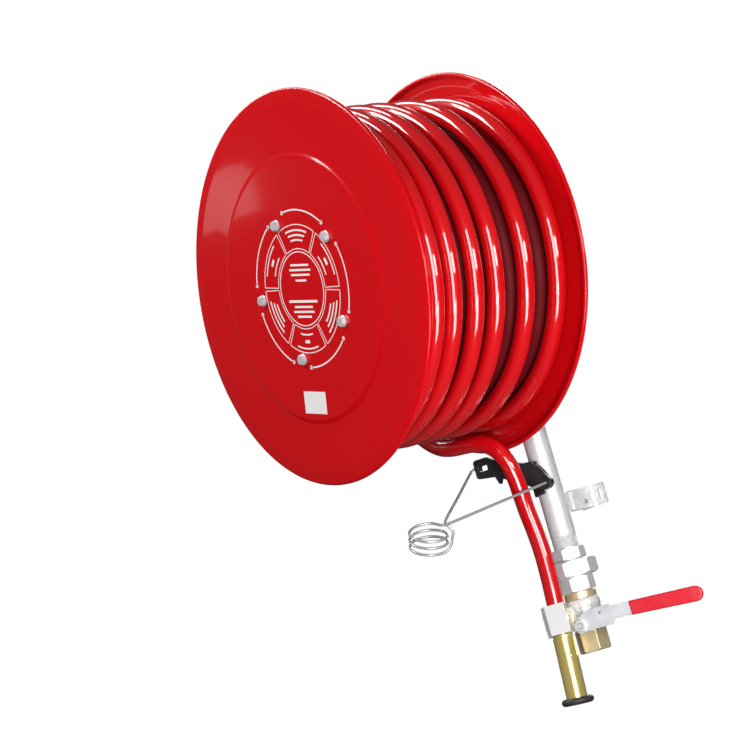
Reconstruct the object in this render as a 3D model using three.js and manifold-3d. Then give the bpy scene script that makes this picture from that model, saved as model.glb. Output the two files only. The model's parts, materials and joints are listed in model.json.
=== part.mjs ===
// A wall-mounted fire hose reel: a drum of red hose that turns on a hollow spindle, carried by an upright
// water pipe. The pipe stands off the wall on two pairs of brackets. Below it hang a union, a ball valve
// with a lever and a holder that keeps the nozzle. A swinging wire guide leads the hose off the drum.
//
// Millimetres, +Z up. The pieces are placed from the drum's axis: X to the right, Y from the front disc
// towards the wall, with Y = 0 at the front disc's rim. The last lines move the origin to the wall.
import * as THREE from "three";
import { mergeVertices } from "three/addons/utils/BufferGeometryUtils.js";
import Module from "manifold-3d";

const wasm = await Module();
wasm.setup();

// ---------------------------------------------------------------- driving dimensions

const GAP = 0.3; // between pieces that rest on or fit into each other
const RUNNING_GAP = 0.4; // between a shaft and the round hole it turns in

// Drum
const DISC_RADIUS = 285;
const DRUM_WIDTH = 278.8; // from rim to rim
const SHEET = 1.5; // thickness of the pressed discs
const DISH = 9; // how far a disc's flat middle stands out past its rim
const STEP_RADIUS = 192; // the pressed step round the flat middle
const STEP_WIDTH = 6;
const STEP_DROP = 2.2;
const LIP_WIDTH = 20; // the band inside the rim that leans back
const LIP_DROP = 3.4;
const BEAD_RADIUS = 3.5; // the rolled edge
const BARREL_RADIUS = 130;
const BARREL_WALL = 2;

// Hub, spindle and the bolts that hold the discs
const SPINDLE_RADIUS = 15.9;
const SPINDLE_BORE = 11;
const SPINDLE_FRONT = 18; // Y of its closed end
const SPINDLE_COLLAR = 24;
const COLLAR_LENGTH = 4;
const CLIP_GROOVE_DEPTH = 1.7;
const CLIP_WIDTH = 2;
const WASHER_THICKNESS = 1.8;
const HUB_WALL = 3.3;
const HUB_BLOCK_RADIUS = 30; // the thick stretch where the water crosses
const HUB_BLOCK_START = 27.7;
const HUB_BLOCK_LENGTH = 76.3;
const HUB_OVERHANG = 12; // how far the hub stands out behind the rear rim
const BUSH_WALL = 4;
const BUSH_LENGTH = 26;
const SEAL_WIDTH = 5;
const SEAL_DEPTH = 3;
const SEAL_OFFSET = 19.5; // from the water port to each seal
const PORT_RADIUS = 6;
const FEED_RADIUS = 9;
const FEED_BORE = 6;
const FLANGE_RADIUS = 116;
const FLANGE_THICKNESS = 4.4;
const BOLT_COUNT = 5;
const BOLT_CIRCLE = 102.8;
const BOLT_FIRST_ANGLE = 101.1; // from +X towards +Z
const BOLT_SHANK = 4;
const BOLT_HEAD_FLATS = 13;
const BOLT_HEAD_HEIGHT = 5;
const BOLT_FLANGE = 8.4;
const BOLT_FLANGE_HEIGHT = 1.4;

// Hose: the outer layer of turns, with each turn's distance behind the front rim, and the loose tail
const HOSE_RADIUS = 13;
const WIND_RADIUS = 238; // centre line of the outer layer
const TURNS_Y = [16.5, 45, 76, 115, 152, 206, 263];
const WIND_START_ANGLE = -110;
const RAMP_START_ANGLE = 100; // each turn crosses to the next between these, on the far side
const RAMP_END_ANGLE = 260;
const LIFT_START_ANGLE = 118; // the last turn climbs over the others from here
const LIFT_END_ANGLE = 180;
const WIND_END_ANGLE = 229.5;
const LIFT_RADIUS = 265;
const WIND_END_Y = 235;
const STEPS_PER_TURN = 24;
const HOSE_SIDES = 6;
const CORE_MARGIN = 2; // from each rim plane to the plain core
// The tail's centre line, from the winding's end to the straight stretch above the nozzle.
const TAIL_POINTS = [
  [-110, 234.3, -249.3],
  [-82.3, 233.8, -257],
  [-38.2, 237.8, -262.3],
  [-15.7, 243.4, -269.1],
  [-0.7, 248.7, -281.2],
  [7.9, 253, -296.8],
  [10.7, 257.5, -314.1],
  [9.5, 262.1, -332.5],
  [7.2, 265.7, -356.3],
  [6.4, 268.4, -382.5],
  [7.2, 271.9, -415.9],
  [8, 273.3, -448.2],
];
const TAIL_STEPS = 20;
const TAIL_SIDES = 12;

// Riser: the upright water pipe behind the drum
const RISER_BEHIND_DRUM = 47.2; // from the rear rim plane to the pipe's axis
const RISER_Y = DRUM_WIDTH + RISER_BEHIND_DRUM;
const RISER_RADIUS = 19.05;
const RISER_WALL = 3;
const RISER_TOP = 75;
const CAP_HEAD = 5;
const CAP_OVERHANG = 1.45; // past the pipe's outside
const CAP_RADIUS = RISER_RADIUS + CAP_OVERHANG;
const CAP_PLUG = 15;

// Wall brackets, each a tab on the pipe and two bent plates
const WALL_BEHIND_RISER = 78;
const WALL_Y = RISER_Y + WALL_BEHIND_RISER;
const UPPER_BRACKET_Z = 50;
const LOWER_BRACKET_BELOW_DISC = 95.5;
const LOWER_BRACKET_Z = -DISC_RADIUS - LOWER_BRACKET_BELOW_DISC;
const BRACKET_HEIGHT = 31;
const PLATE_THICKNESS = 3;
const PLATE_BEND = 3; // inside radius
const PLATE_REACH = 30; // from the pipe's centre plane to the end of the foot
const TAB_THICKNESS = 5;
const TAB_HEIGHT = 27;
const TAB_LENGTH = 30;
const PLATE_OVERLAP = 16; // of plate and tab
const SLOT_X = 19;
const SLOT_WIDTH = 9;
const SLOT_HEIGHT = 18;
const CROSS_HOLE_RADIUS = 4;
const CROSS_HOLE_FROM_WALL = 22;
const CROSS_HOLE_DROP = 5.5;
const ORIGIN_X = 11.6; // the flat of the lower right foot, between its bend and its slot

// Union, nipple and valve, down the riser's axis
const UPPER_NECK_BELOW_DISC = 162;
const UPPER_NECK_Z = -DISC_RADIUS - UPPER_NECK_BELOW_DISC;
const UPPER_NECK_LENGTH = 19;
const UPPER_NECK_WALL = 2.99; // round the pipe, at the flats
const UPPER_NECK_CORNER = (RISER_RADIUS + GAP + UPPER_NECK_WALL) / Math.cos(Math.PI / 6);
const SOCKET_DEPTH = 15;
const UNION_NUT_LENGTH = 24.5;
const UNION_NUT_CORNER = 37.8;
const UNION_COLLAR_RADIUS = 29.5;
const UNION_COLLAR_THICKNESS = 6;
const UNION_LIP = 4.2;
const NECK_RADIUS = 21.5;
const GASKET_THICKNESS = 2;
const GASKET_RADIUS = 28;
const LOWER_NECK_LENGTH = 22.5;
const LOWER_NECK_CORNER = 26.9;
const WATERWAY = 13;
const NIPPLE_RADIUS = 24;
const NIPPLE_LENGTH = 10.5;
const NIPPLE_THREAD = 16.8;
const NIPPLE_THREAD_LENGTH = 11.5;
const NIPPLE_BORE = 11;
const BODY_RADIUS = 26;
const BODY_LENGTH = 43;
const INLET_CORNER = 24.4;
const INLET_LENGTH = 35.5;
const INLET_THREAD = 13.2;
const INLET_THREAD_DEPTH = 14;
const SPIGOT_RADIUS = 18;
const STEM_BELOW_TOP = 38; // from the body's top face down to the stem
const BALL_RADIUS = 15;
const BALL_BORE = 9.5;
const SEAT_START = 8; // from the ball's centre
const SEAT_END = 16.5;
const BOSS_RADIUS = 10;
const BOSS_REACH = 27.2; // from the pipe's axis towards the stem's end
const STEM_NECK_RADIUS = 8.5;
const STEM_NECK_REACH = 36;
const STEM_RADIUS = 5;
const PACKING_RADIUS = 7.2;
const PACKING_START = 30;
const PACKING_NUT_FLATS = 20;
const PACKING_NUT_LENGTH = 10.7;

// Valve lever. The valve set is turned by VALVE_HEADING about the riser. Lengths run from the stem.
const VALVE_HEADING = 38;
const LEVER_REACH = 50; // from the pipe's axis to the lever's back face
const LEVER_THICKNESS = 3;
const LEVER_ROOT_RADIUS = 11;
const LEVER_ROOT_START = 14;
const LEVER_ROOT_END = 51;
const LEVER_ROOT_TOP = 20;
const LEVER_ROOT_BOTTOM = -10;
const LEVER_STRIP_WIDTH = 20;
const LEVER_RISE = 7; // of the strip's middle above the stem
const LEVER_DROOP = 3.3; // degrees
const SLEEVE_START = 77.5;
const LEVER_LENGTH = 186;
const SLEEVE_WIDTH = 23;
const SLEEVE_THICKNESS = 8;
const SLEEVE_WALL = 2.2;
const LOCK_HOLE = [32, 11];
const LOCK_HOLE_RADIUS = 2.2;
const STEM_END_RADIUS = 4;
const STEM_END_REACH = 61.5;
const LEVER_NUT_FLATS = 16;
const LEVER_NUT_HEIGHT = 6.6;

// Nozzle holder and nozzle, in the valve set's own directions: x along the lever, s towards the stem's end
const NOZZLE_X = -29.3;
const NOZZLE_S = 46;
const NOZZLE_PIVOT_DROP = 6; // below the body's top face
const NOZZLE_LEAN = 3; // degrees
const PLATE_S = 27.5;
const HOLDER_PLATE = 2;
const HOLDER_PLATE_TOP = 7.5; // below the body's top face
const HOLDER_PLATE_BOTTOM = 43.5;
const HOLDER_EYE_RADIUS = 12;
const STRAP_THICKNESS = 1.5;
const STRAP_TOP = -2.5; // above the body's top face
const STRAP_HEIGHT = 44;
const STRAP_BEND = 4; // inside radius
const STRAP_FOOT = 10;
const STRAP_RIGHT_X = -14;
const STRAP_CLEARANCE = 0.6;
const HOSE_END_DROP = 6; // below the nozzle's pivot
const FERRULE_WALL = 1.1;
const FERRULE_RISE = 13;
const COUPLING_RADIUS = 13.8;
const COUPLING_LENGTH = 29.6;
const COUPLING_SPIGOT = 11.1;
const COUPLING_SPIGOT_LENGTH = 34;
const COUPLING_BORE = 7;
const NOZZLE_RADIUS = 15.5;
const NOZZLE_SHOULDER = 14.6;
const NOZZLE_LENGTH = 101.8;
const NOZZLE_WIDE_BORE = 11.5;
const NOZZLE_MID_BORE = 8;
const NOZZLE_MOUTH = 6;
const TIP_RADIUS = 24;
const TIP_THICKNESS = 10.5;
const TIP_LIP = 2; // how far the rubber stands out past the mouth

// Hose guide, turned by GUIDE_HEADING about the riser: x along the arm, y towards the wall, z from the
// drum's lowest point
const GUIDE_HEADING = 26.6;
const ARM_INSET = 2.35; // how deep the arm's bar sinks into the clip's wall
const ARM_THICKNESS = 14.2;
const ARM_BACK = -(RISER_RADIUS + RUNNING_GAP + ARM_INSET);
const ARM_FRONT = ARM_BACK - ARM_THICKNESS;
const BOSS_EYE = [10.5, -62];
const BOSS_EYE_RADIUS = 10.2;
const CLIP_WALL = 4.6;
const CLIP_TOP = -27;
const CLIP_BOTTOM = -77;
const CLIP_OPEN_FROM = -86; // degrees, in the guide's own directions
const CLIP_OPEN_TO = 62;
const WIRE_RADIUS = 2;
const WIRE_SOCKET = 6; // depth of the moulded holes for the wire
const WIRE_RIGHT = [12, ARM_FRONT, -63];
const WIRE_LEFT = [-98.5, ARM_FRONT + 3.5, -12];
const WIRE_MEET = [-73.5, ARM_FRONT - 180, -88]; // where the two legs cross
const COIL_RADIUS = 27;
const COIL_CENTRE = [-74, -219]; // along the arm and away from it, from the right end, in the legs' plane
const COIL_START_ANGLE = 112;
const COIL_END_ANGLE = 1070;
const COIL_HEIGHT = 27;
const STEPS_PER_CURL = 8;
const WIRE_SIDES = 5;

const DISC_SIDES = 40;
const ROUND_SIDES = 20;
const SMALL_SIDES = 12;
const BARREL_SIDES = 40;
const CLIP_STEPS = 20;

// ---------------------------------------------------------------- materials

const finish = (color, roughness, metalness) =>
  new THREE.MeshStandardMaterial({ color, roughness, metalness });
const redPaint = finish(0xc90f1a, 0.28, 0.1);
const redRubber = finish(0xc70d18, 0.35, 0);
const galvanised = finish(0xc6c9cc, 0.45, 0.85);
const chrome = finish(0xe2e4e6, 0.15, 1);
const brass = finish(0xb59a55, 0.3, 1);
const steel = finish(0x9ea2a6, 0.35, 0.9);
const blackPlastic = finish(0x26272a, 0.5, 0);
const blackRubber = finish(0x1e1e20, 0.7, 0);
const redVinyl = finish(0xd2222c, 0.4, 0);
const whitePlastic = finish(0xe8e6df, 0.5, 0);

// ---------------------------------------------------------------- shaping helpers

const radians = THREE.MathUtils.degToRad;
const vector = (x, y, z) => new THREE.Vector3(x, y, z);

// A closed geometry as a solid that can be joined and cut.
function solid(geometry) {
  const bare = geometry.clone();
  bare.deleteAttribute("normal");
  bare.deleteAttribute("uv");
  const merged = mergeVertices(bare, 1e-3);
  const corners = merged.index.array;
  const triangles = [];
  for (let i = 0; i < corners.length; i += 3) {
    const [a, b, c] = corners.slice(i, i + 3);
    if (a !== b && b !== c && c !== a) triangles.push(a, b, c);
  }
  return new wasm.Manifold(
    new wasm.Mesh({
      numProp: 3,
      vertProperties: new Float32Array(merged.attributes.position.array),
      triVerts: new Uint32Array(triangles),
    }),
  );
}

// A solid as a geometry with flat faces.
function shell(manifold) {
  const mesh = manifold.getMesh();
  const geometry = new THREE.BufferGeometry();
  geometry.setAttribute("position", new THREE.BufferAttribute(mesh.vertProperties, 3));
  geometry.setIndex(new THREE.BufferAttribute(mesh.triVerts, 1));
  const flat = geometry.toNonIndexed();
  flat.computeVertexNormals();
  return flat;
}

const join = (...parts) => parts.reduce((whole, part) => whole.add(part));
const cut = (whole, ...tools) => tools.reduce((left, tool) => left.subtract(tool), whole);

function mesh(name, shape, material) {
  const geometry = shape.isBufferGeometry ? shape : shell(shape);
  const piece = new THREE.Mesh(geometry, material);
  piece.name = name;
  return piece;
}

// An outline of [radius, height] corners turned about the Y axis. Rings close on themselves.
function turned(outline, sides = ROUND_SIDES) {
  const corners = outline.map(([r, y]) => new THREE.Vector2(r, y));
  const ring = outline.every(([r]) => r > 0);
  if (THREE.ShapeUtils.area(corners) < 0) corners.reverse();
  if (ring) corners.push(corners[0].clone());
  return solid(new THREE.LatheGeometry(corners, sides));
}

// The same, about the Z axis.
const turnedUp = (outline, sides) => turned(outline, sides).rotate([90, 0, 0]);

const rod = (radius, low, high, sides = ROUND_SIDES) =>
  turned([[0, low], [radius, low], [radius, high], [0, high]], sides);
const rodUp = (radius, low, high, sides) => rod(radius, low, high, sides).rotate([90, 0, 0]);
const rodAcross = (radius, low, high, sides) => rod(radius, low, high, sides).rotate([0, 0, -90]);
const tubeUp = (outer, inner, low, high, sides) =>
  turnedUp([[inner, low], [outer, low], [outer, high], [inner, high]], sides);

function block(x0, x1, y0, y1, z0, z1) {
  const geometry = new THREE.BoxGeometry(x1 - x0, y1 - y0, z1 - z0);
  geometry.translate((x0 + x1) / 2, (y0 + y1) / 2, (z0 + z1) / 2);
  return solid(geometry);
}

// A hexagonal bar along Z with its corners turned off at both ends.
function hexUp(corner, low, high, sides = 24) {
  const bar = new THREE.CylinderGeometry(corner, corner, high - low, 6);
  bar.rotateX(Math.PI / 2);
  bar.translate(0, 0, (low + high) / 2);
  const turnedOff = (corner * (1 - Math.cos(Math.PI / 6))) * 0.8;
  const rounded = turnedUp([
    [0, low],
    [corner - turnedOff, low],
    [corner + 0.1, low + turnedOff * 0.6],
    [corner + 0.1, high - turnedOff * 0.6],
    [corner - turnedOff, high],
    [0, high],
  ], sides);
  return solid(bar).intersect(rounded);
}

const cornerOf = (flats) => flats / 2 / Math.cos(Math.PI / 6);

// A flat shape in X and Z, from y0 to y1.
function slab(shape, y0, y1, curveSegments = 4) {
  const geometry = new THREE.ExtrudeGeometry(shape, {
    depth: y1 - y0,
    bevelEnabled: false,
    curveSegments,
  });
  geometry.rotateX(Math.PI / 2);
  geometry.translate(0, y1, 0);
  return solid(geometry);
}

// A strip of sheet bent along a line in X and Y, standing from z0 to z1.
function bentStrip(line, thickness, insideRadius, z0, z1) {
  const bend = insideRadius + thickness / 2;
  const middle = [];
  line.forEach(([x, y], i) => {
    const here = new THREE.Vector2(x, y);
    if (i === 0 || i === line.length - 1) {
      middle.push(here);
      return;
    }
    const back = new THREE.Vector2(...line[i - 1]).sub(here).normalize();
    const ahead = new THREE.Vector2(...line[i + 1]).sub(here).normalize();
    const half = Math.acos(THREE.MathUtils.clamp(back.dot(ahead), -1, 1)) / 2;
    const run = bend / Math.tan(half);
    const centre = back.clone().add(ahead).normalize().multiplyScalar(bend / Math.sin(half)).add(here);
    const first = here.clone().addScaledVector(back, run).sub(centre);
    const turn = Math.PI - 2 * half;
    const side = Math.sign(back.cross(ahead));
    for (let k = 0; k <= 4; k++) {
      const spoke = first.clone().rotateAround(new THREE.Vector2(), (-side * turn * k) / 4);
      middle.push(spoke.add(centre));
    }
  });
  const normalAt = (i) => {
    const from = middle[Math.max(i - 1, 0)];
    const to = middle[Math.min(i + 1, middle.length - 1)];
    const along = to.clone().sub(from).normalize();
    return new THREE.Vector2(-along.y, along.x).multiplyScalar(thickness / 2);
  };
  const left = middle.map((p, i) => p.clone().add(normalAt(i)));
  const right = middle.map((p, i) => p.clone().sub(normalAt(i)));
  const geometry = new THREE.ExtrudeGeometry(new THREE.Shape([...left, ...right.reverse()]), {
    depth: z1 - z0,
    bevelEnabled: false,
  });
  geometry.translate(0, 0, z0);
  return solid(geometry);
}

// A closed round tube through the points, its section carried along without twisting.
function tubeThrough(points, radius, sides, firstSide) {
  const tangents = points.map((p, i) => {
    const from = points[Math.max(i - 1, 0)];
    const to = points[Math.min(i + 1, points.length - 1)];
    return to.clone().sub(from).normalize();
  });
  let side = firstSide.clone();
  const corners = [];
  const triangles = [];
  points.forEach((p, i) => {
    side.addScaledVector(tangents[i], -side.dot(tangents[i])).normalize();
    const across = tangents[i].clone().cross(side);
    for (let k = 0; k < sides; k++) {
      const angle = (2 * Math.PI * k) / sides;
      const corner = p.clone();
      corner.addScaledVector(side, radius * Math.cos(angle));
      corner.addScaledVector(across, radius * Math.sin(angle));
      corners.push(...corner.toArray());
    }
    if (i === 0) return;
    for (let k = 0; k < sides; k++) {
      const next = (k + 1) % sides;
      const low = (i - 1) * sides;
      const high = i * sides;
      triangles.push(low + k, low + next, high + next, low + k, high + next, high + k);
    }
  });
  const last = (points.length - 1) * sides;
  for (let k = 1; k < sides - 1; k++) {
    triangles.push(0, k + 1, k, last, last + k, last + k + 1);
  }
  const geometry = new THREE.BufferGeometry();
  geometry.setAttribute("position", new THREE.Float32BufferAttribute(corners, 3));
  geometry.setIndex(triangles);
  return geometry.toNonIndexed();
}

// The least gap of a tube to itself, between points more than a few diameters apart along it.
function leastGap(points, radius) {
  const along = [0];
  for (let i = 1; i < points.length; i++) along.push(along[i - 1] + points[i].distanceTo(points[i - 1]));
  let least = Infinity;
  for (let i = 0; i < points.length; i++) {
    for (let j = i + 1; j < points.length; j++) {
      if (along[j] - along[i] < 6 * radius) continue;
      least = Math.min(least, points[i].distanceTo(points[j]) - 2 * radius);
    }
  }
  return least;
}

// Extra points between each pair, for measuring.
function fine(points, parts = 6) {
  const dense = [];
  for (let i = 1; i < points.length; i++) {
    for (let k = 0; k < parts; k++) dense.push(points[i - 1].clone().lerp(points[i], k / parts));
  }
  return dense;
}

// ---------------------------------------------------------------- drum

const discFace = DISH; // the outer face of the flat middle, out from the rim plane
const discInside = DISH - SHEET;

// One pressed disc, standing out towards -Y from its rim plane at Y = 0.
function discOutline(holeRadius) {
  const stepIn = STEP_RADIUS - STEP_WIDTH / 2;
  const stepOut = STEP_RADIUS + STEP_WIDTH / 2;
  const lipStart = DISC_RADIUS - LIP_WIDTH;
  const beadMiddle = DISC_RADIUS - BEAD_RADIUS;
  const outside = [
    [holeRadius, -discFace],
    [stepIn, -discFace],
    [stepOut, -discFace + STEP_DROP],
    [lipStart, -discFace + LIP_DROP],
  ];
  const bead = [];
  for (let k = 0; k <= 5; k++) {
    const angle = radians(-90 + 54 * k);
    bead.push([beadMiddle + BEAD_RADIUS * Math.cos(angle), BEAD_RADIUS * Math.sin(angle)]);
  }
  const inside = [
    [beadMiddle - BEAD_RADIUS - 1.5, -BEAD_RADIUS + SHEET - 0.6],
    [lipStart, -discFace + LIP_DROP + SHEET],
    [stepOut, -discFace + STEP_DROP + SHEET],
    [stepIn, -discInside],
    [holeRadius, -discInside],
  ];
  return [...outside, ...bead, ...inside];
}

const boltPlaces = [];
for (let k = 0; k < BOLT_COUNT; k++) {
  const angle = radians(BOLT_FIRST_ANGLE - (360 / BOLT_COUNT) * k);
  boltPlaces.push([BOLT_CIRCLE * Math.cos(angle), BOLT_CIRCLE * Math.sin(angle)]);
}

// Round holes for the five bolts, right through whatever is cut.
const boltHoles = (y0, y1) =>
  boltPlaces.map(([x, z]) => rod(BOLT_SHANK + GAP, y0, y1, SMALL_SIDES).translate([x, 0, z]));

const behind = (part) => part.mirror([0, 1, 0]).translate([0, DRUM_WIDTH, 0]);

function frontDisc() {
  return cut(turned(discOutline(0), DISC_SIDES), ...boltHoles(-20, 5));
}

const hubInside = SPINDLE_RADIUS + RUNNING_GAP;
const bushOutside = hubInside + BUSH_WALL;
const hubWide = bushOutside + GAP;
const hubOutside = hubWide + HUB_WALL;
const hubEnd = DRUM_WIDTH + HUB_OVERHANG;
const hubBlockEnd = HUB_BLOCK_START + HUB_BLOCK_LENGTH;
const portY = HUB_BLOCK_START + HUB_BLOCK_LENGTH / 2;

function rearDisc() {
  return behind(cut(turned(discOutline(hubOutside + 1), DISC_SIDES), ...boltHoles(-20, 5)));
}

function drumBarrel() {
  const low = -discInside + GAP;
  const high = DRUM_WIDTH + discInside - GAP;
  const inner = BARREL_RADIUS - BARREL_WALL;
  const wall = turned([[inner, low], [BARREL_RADIUS, low], [BARREL_RADIUS, high], [inner, high]], BARREL_SIDES);
  const feedHole = rodUp(FEED_RADIUS + GAP, inner - 10, BARREL_RADIUS + 10, SMALL_SIDES);
  return cut(wall, feedHole.translate([0, portY, 0]));
}

// The hub: a flange behind the front disc, a thick block where the water crosses, and a long sleeve.
function drumHub() {
  const flangeFront = -discInside + GAP;
  const sealGroove = hubInside + SEAL_DEPTH;
  const gallery = hubInside + 3.5;
  const groove = (middle, half, depth) => [
    [depth, middle - half],
    [depth, middle + half],
  ];
  const hub = turned([
    [hubWide, flangeFront],
    [FLANGE_RADIUS, flangeFront],
    [FLANGE_RADIUS, flangeFront + FLANGE_THICKNESS],
    [HUB_BLOCK_RADIUS, flangeFront + FLANGE_THICKNESS],
    [HUB_BLOCK_RADIUS, hubBlockEnd],
    [hubOutside, hubBlockEnd + 6],
    [hubOutside, hubEnd],
    [hubWide, hubEnd],
    [hubWide, hubBlockEnd],
    [hubInside, hubBlockEnd],
    [hubInside, HUB_BLOCK_START],
    [hubWide, HUB_BLOCK_START],
  ]);
  const rings = [
    [portY - SEAL_OFFSET, SEAL_WIDTH / 2 + GAP, sealGroove],
    [portY, PORT_RADIUS + 2, gallery],
    [portY + SEAL_OFFSET, SEAL_WIDTH / 2 + GAP, sealGroove],
  ].map(([middle, half, depth]) => {
    const [low, high] = groove(middle, half, depth);
    return turned([[hubInside - 3, low[1]], [low[0], low[1]], [high[0], high[1]], [hubInside - 3, high[1]]]);
  });
  const port = rodUp(PORT_RADIUS, hubInside - 2, HUB_BLOCK_RADIUS + 5, SMALL_SIDES);
  const socket = rodUp(FEED_RADIUS + GAP, feedStart - GAP, HUB_BLOCK_RADIUS + 5, SMALL_SIDES);
  return cut(
    hub,
    ...rings,
    port.translate([0, portY, 0]),
    socket.translate([0, portY, 0]),
    ...boltHoles(-20, 20),
  );
}

const feedStart = hubInside + SEAL_DEPTH + 6;

function sealRing(middle) {
  const inner = hubInside - 0.1;
  const outer = hubInside + SEAL_DEPTH - GAP;
  const half = SEAL_WIDTH / 2;
  return turned([
    [inner, middle - half + 1],
    [inner + 1, middle - half],
    [outer - 1, middle - half],
    [outer, middle - half + 1],
    [outer, middle + half - 1],
    [outer - 1, middle + half],
    [inner + 1, middle + half],
    [inner, middle + half - 1],
  ]);
}

// The flange ring on the hub's rear end, behind which the rear disc is bolted.
function rearFlange() {
  const face = DRUM_WIDTH + discInside - GAP;
  const inner = hubOutside + GAP;
  return cut(
    turned([
      [inner, face - FLANGE_THICKNESS],
      [FLANGE_RADIUS, face - FLANGE_THICKNESS],
      [FLANGE_RADIUS, face],
      [inner, face],
    ]),
    ...boltHoles(face - 20, face + 5),
  );
}

function bush(low) {
  return turned([
    [hubInside, low],
    [bushOutside, low],
    [bushOutside, low + BUSH_LENGTH],
    [hubInside, low + BUSH_LENGTH],
  ]);
}

const feedPipe = () =>
  tubeUp(FEED_RADIUS, FEED_BORE, feedStart, BARREL_RADIUS - GAP, SMALL_SIDES).translate([0, portY, 0]);

// A flanged hexagon bolt, its head out towards -Y and its shank through disc and flange.
function discBolt() {
  const seat = -discFace - GAP;
  const shankEnd = -discInside + GAP + FLANGE_THICKNESS + 3;
  const headBase = seat - BOLT_FLANGE_HEIGHT;
  return join(
    rod(BOLT_SHANK, headBase - 1, shankEnd, 12),
    rod(BOLT_FLANGE, headBase, seat, SMALL_SIDES),
    rod(cornerOf(BOLT_HEAD_FLATS), headBase - BOLT_HEAD_HEIGHT, headBase, 6),
  );
}

// ---------------------------------------------------------------- hose on the drum

const smooth = (u) => u * u * (3 - 2 * u);
const share = (value, from, to) => THREE.MathUtils.clamp((value - from) / (to - from), 0, 1);

// The outer layer's centre line at a turning angle that runs on from turn to turn.
function windingPoint(angle) {
  const last = TURNS_Y.length - 1;
  const turn = THREE.MathUtils.clamp(Math.floor((angle + 100) / 360), 0, last);
  const local = angle - 360 * turn;
  let y = TURNS_Y[turn];
  let radius = WIND_RADIUS;
  if (turn < last) {
    y += (TURNS_Y[turn + 1] - y) * smooth(share(local, RAMP_START_ANGLE, RAMP_END_ANGLE));
  } else {
    y += (WIND_END_Y - y) * smooth(share(local, RAMP_START_ANGLE, WIND_END_ANGLE));
    radius += (LIFT_RADIUS - radius) * smooth(share(local, LIFT_START_ANGLE, LIFT_END_ANGLE));
  }
  return vector(radius * Math.cos(radians(angle)), y, radius * Math.sin(radians(angle)));
}

// The winding, with a straight stretch of one diameter at each end.
function windingPoints() {
  const straight = 2 * HOSE_RADIUS;
  const endAngle = 360 * (TURNS_Y.length - 1) + WIND_END_ANGLE;
  const step = 360 / STEPS_PER_TURN;
  const steps = Math.round((endAngle - WIND_START_ANGLE) / step);
  const points = [];
  for (let k = 0; k <= steps; k++) {
    points.push(windingPoint(WIND_START_ANGLE + ((endAngle - WIND_START_ANGLE) * k) / steps));
  }
  const first = windingPoint(WIND_START_ANGLE);
  const into = windingPoint(WIND_START_ANGLE + 1).sub(first).normalize();
  points.unshift(first.clone().addScaledVector(into, -straight));
  const end = windingPoint(endAngle);
  const out = end.clone().sub(windingPoint(endAngle - 1)).normalize();
  points.push(end.clone().addScaledVector(out, straight));
  return points;
}

const winding = windingPoints();
const windingEnd = winding[winding.length - 1];
const windingOut = windingEnd.clone().sub(winding[winding.length - 2]).normalize();

// The plain inner layers, just inside the outer one.
function hoseCore() {
  const chordSag = Math.cos(Math.PI / STEPS_PER_TURN);
  const radius = (WIND_RADIUS - HOSE_RADIUS) * chordSag - GAP;
  const inner = (BARREL_RADIUS + GAP) / Math.cos(Math.PI / BARREL_SIDES);
  const high = DRUM_WIDTH - CORE_MARGIN;
  return turned([[inner, CORE_MARGIN], [radius, CORE_MARGIN], [radius, high], [inner, high]], BARREL_SIDES);
}

// ---------------------------------------------------------------- riser and wall brackets

const onRiser = (part) => part.translate([0, RISER_Y, 0]);

function riserPipe() {
  const low = UPPER_NECK_Z - SOCKET_DEPTH + GAP;
  const pipe = tubeUp(RISER_RADIUS, RISER_RADIUS - RISER_WALL, low, RISER_TOP);
  const spindleHole = rod(SPINDLE_RADIUS + RUNNING_GAP, -RISER_RADIUS - 5, 0);
  return onRiser(cut(pipe, spindleHole));
}

function riserCap() {
  const plug = RISER_RADIUS - RISER_WALL - GAP;
  const seat = RISER_TOP + GAP;
  return onRiser(
    turnedUp([
      [0, seat - CAP_PLUG],
      [plug, seat - CAP_PLUG],
      [plug, seat],
      [CAP_RADIUS, seat],
      [CAP_RADIUS, seat + CAP_HEAD - 1.5],
      [CAP_RADIUS - 1.5, seat + CAP_HEAD],
      [0, seat + CAP_HEAD],
    ]),
  );
}

// The hollow axle: closed in front, with water ports inside the hub, and its open end in the riser.
function spindle() {
  const end = RISER_Y - RISER_RADIUS + RISER_WALL + 4;
  const clipY = HUB_BLOCK_START - GAP - WASHER_THICKNESS - GAP - CLIP_WIDTH;
  const collarY = hubEnd + GAP;
  const body = turned([
    [0, SPINDLE_FRONT],
    [SPINDLE_RADIUS - 1, SPINDLE_FRONT],
    [SPINDLE_RADIUS, SPINDLE_FRONT + 1],
    [SPINDLE_RADIUS, clipY - GAP],
    [SPINDLE_RADIUS - CLIP_GROOVE_DEPTH, clipY - GAP],
    [SPINDLE_RADIUS - CLIP_GROOVE_DEPTH, clipY + CLIP_WIDTH + GAP / 2],
    [SPINDLE_RADIUS, clipY + CLIP_WIDTH + GAP / 2],
    [SPINDLE_RADIUS, collarY],
    [SPINDLE_COLLAR, collarY],
    [SPINDLE_COLLAR, collarY + COLLAR_LENGTH],
    [SPINDLE_RADIUS, collarY + COLLAR_LENGTH],
    [SPINDLE_RADIUS, end],
    [SPINDLE_BORE, end],
    [SPINDLE_BORE, portY - PORT_RADIUS - 6],
    [0, portY - PORT_RADIUS - 6],
  ]);
  const port = rodUp(PORT_RADIUS - 1, -SPINDLE_RADIUS - 5, SPINDLE_RADIUS + 5, SMALL_SIDES);
  return cut(body, port.translate([0, portY, 0]));
}

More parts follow.
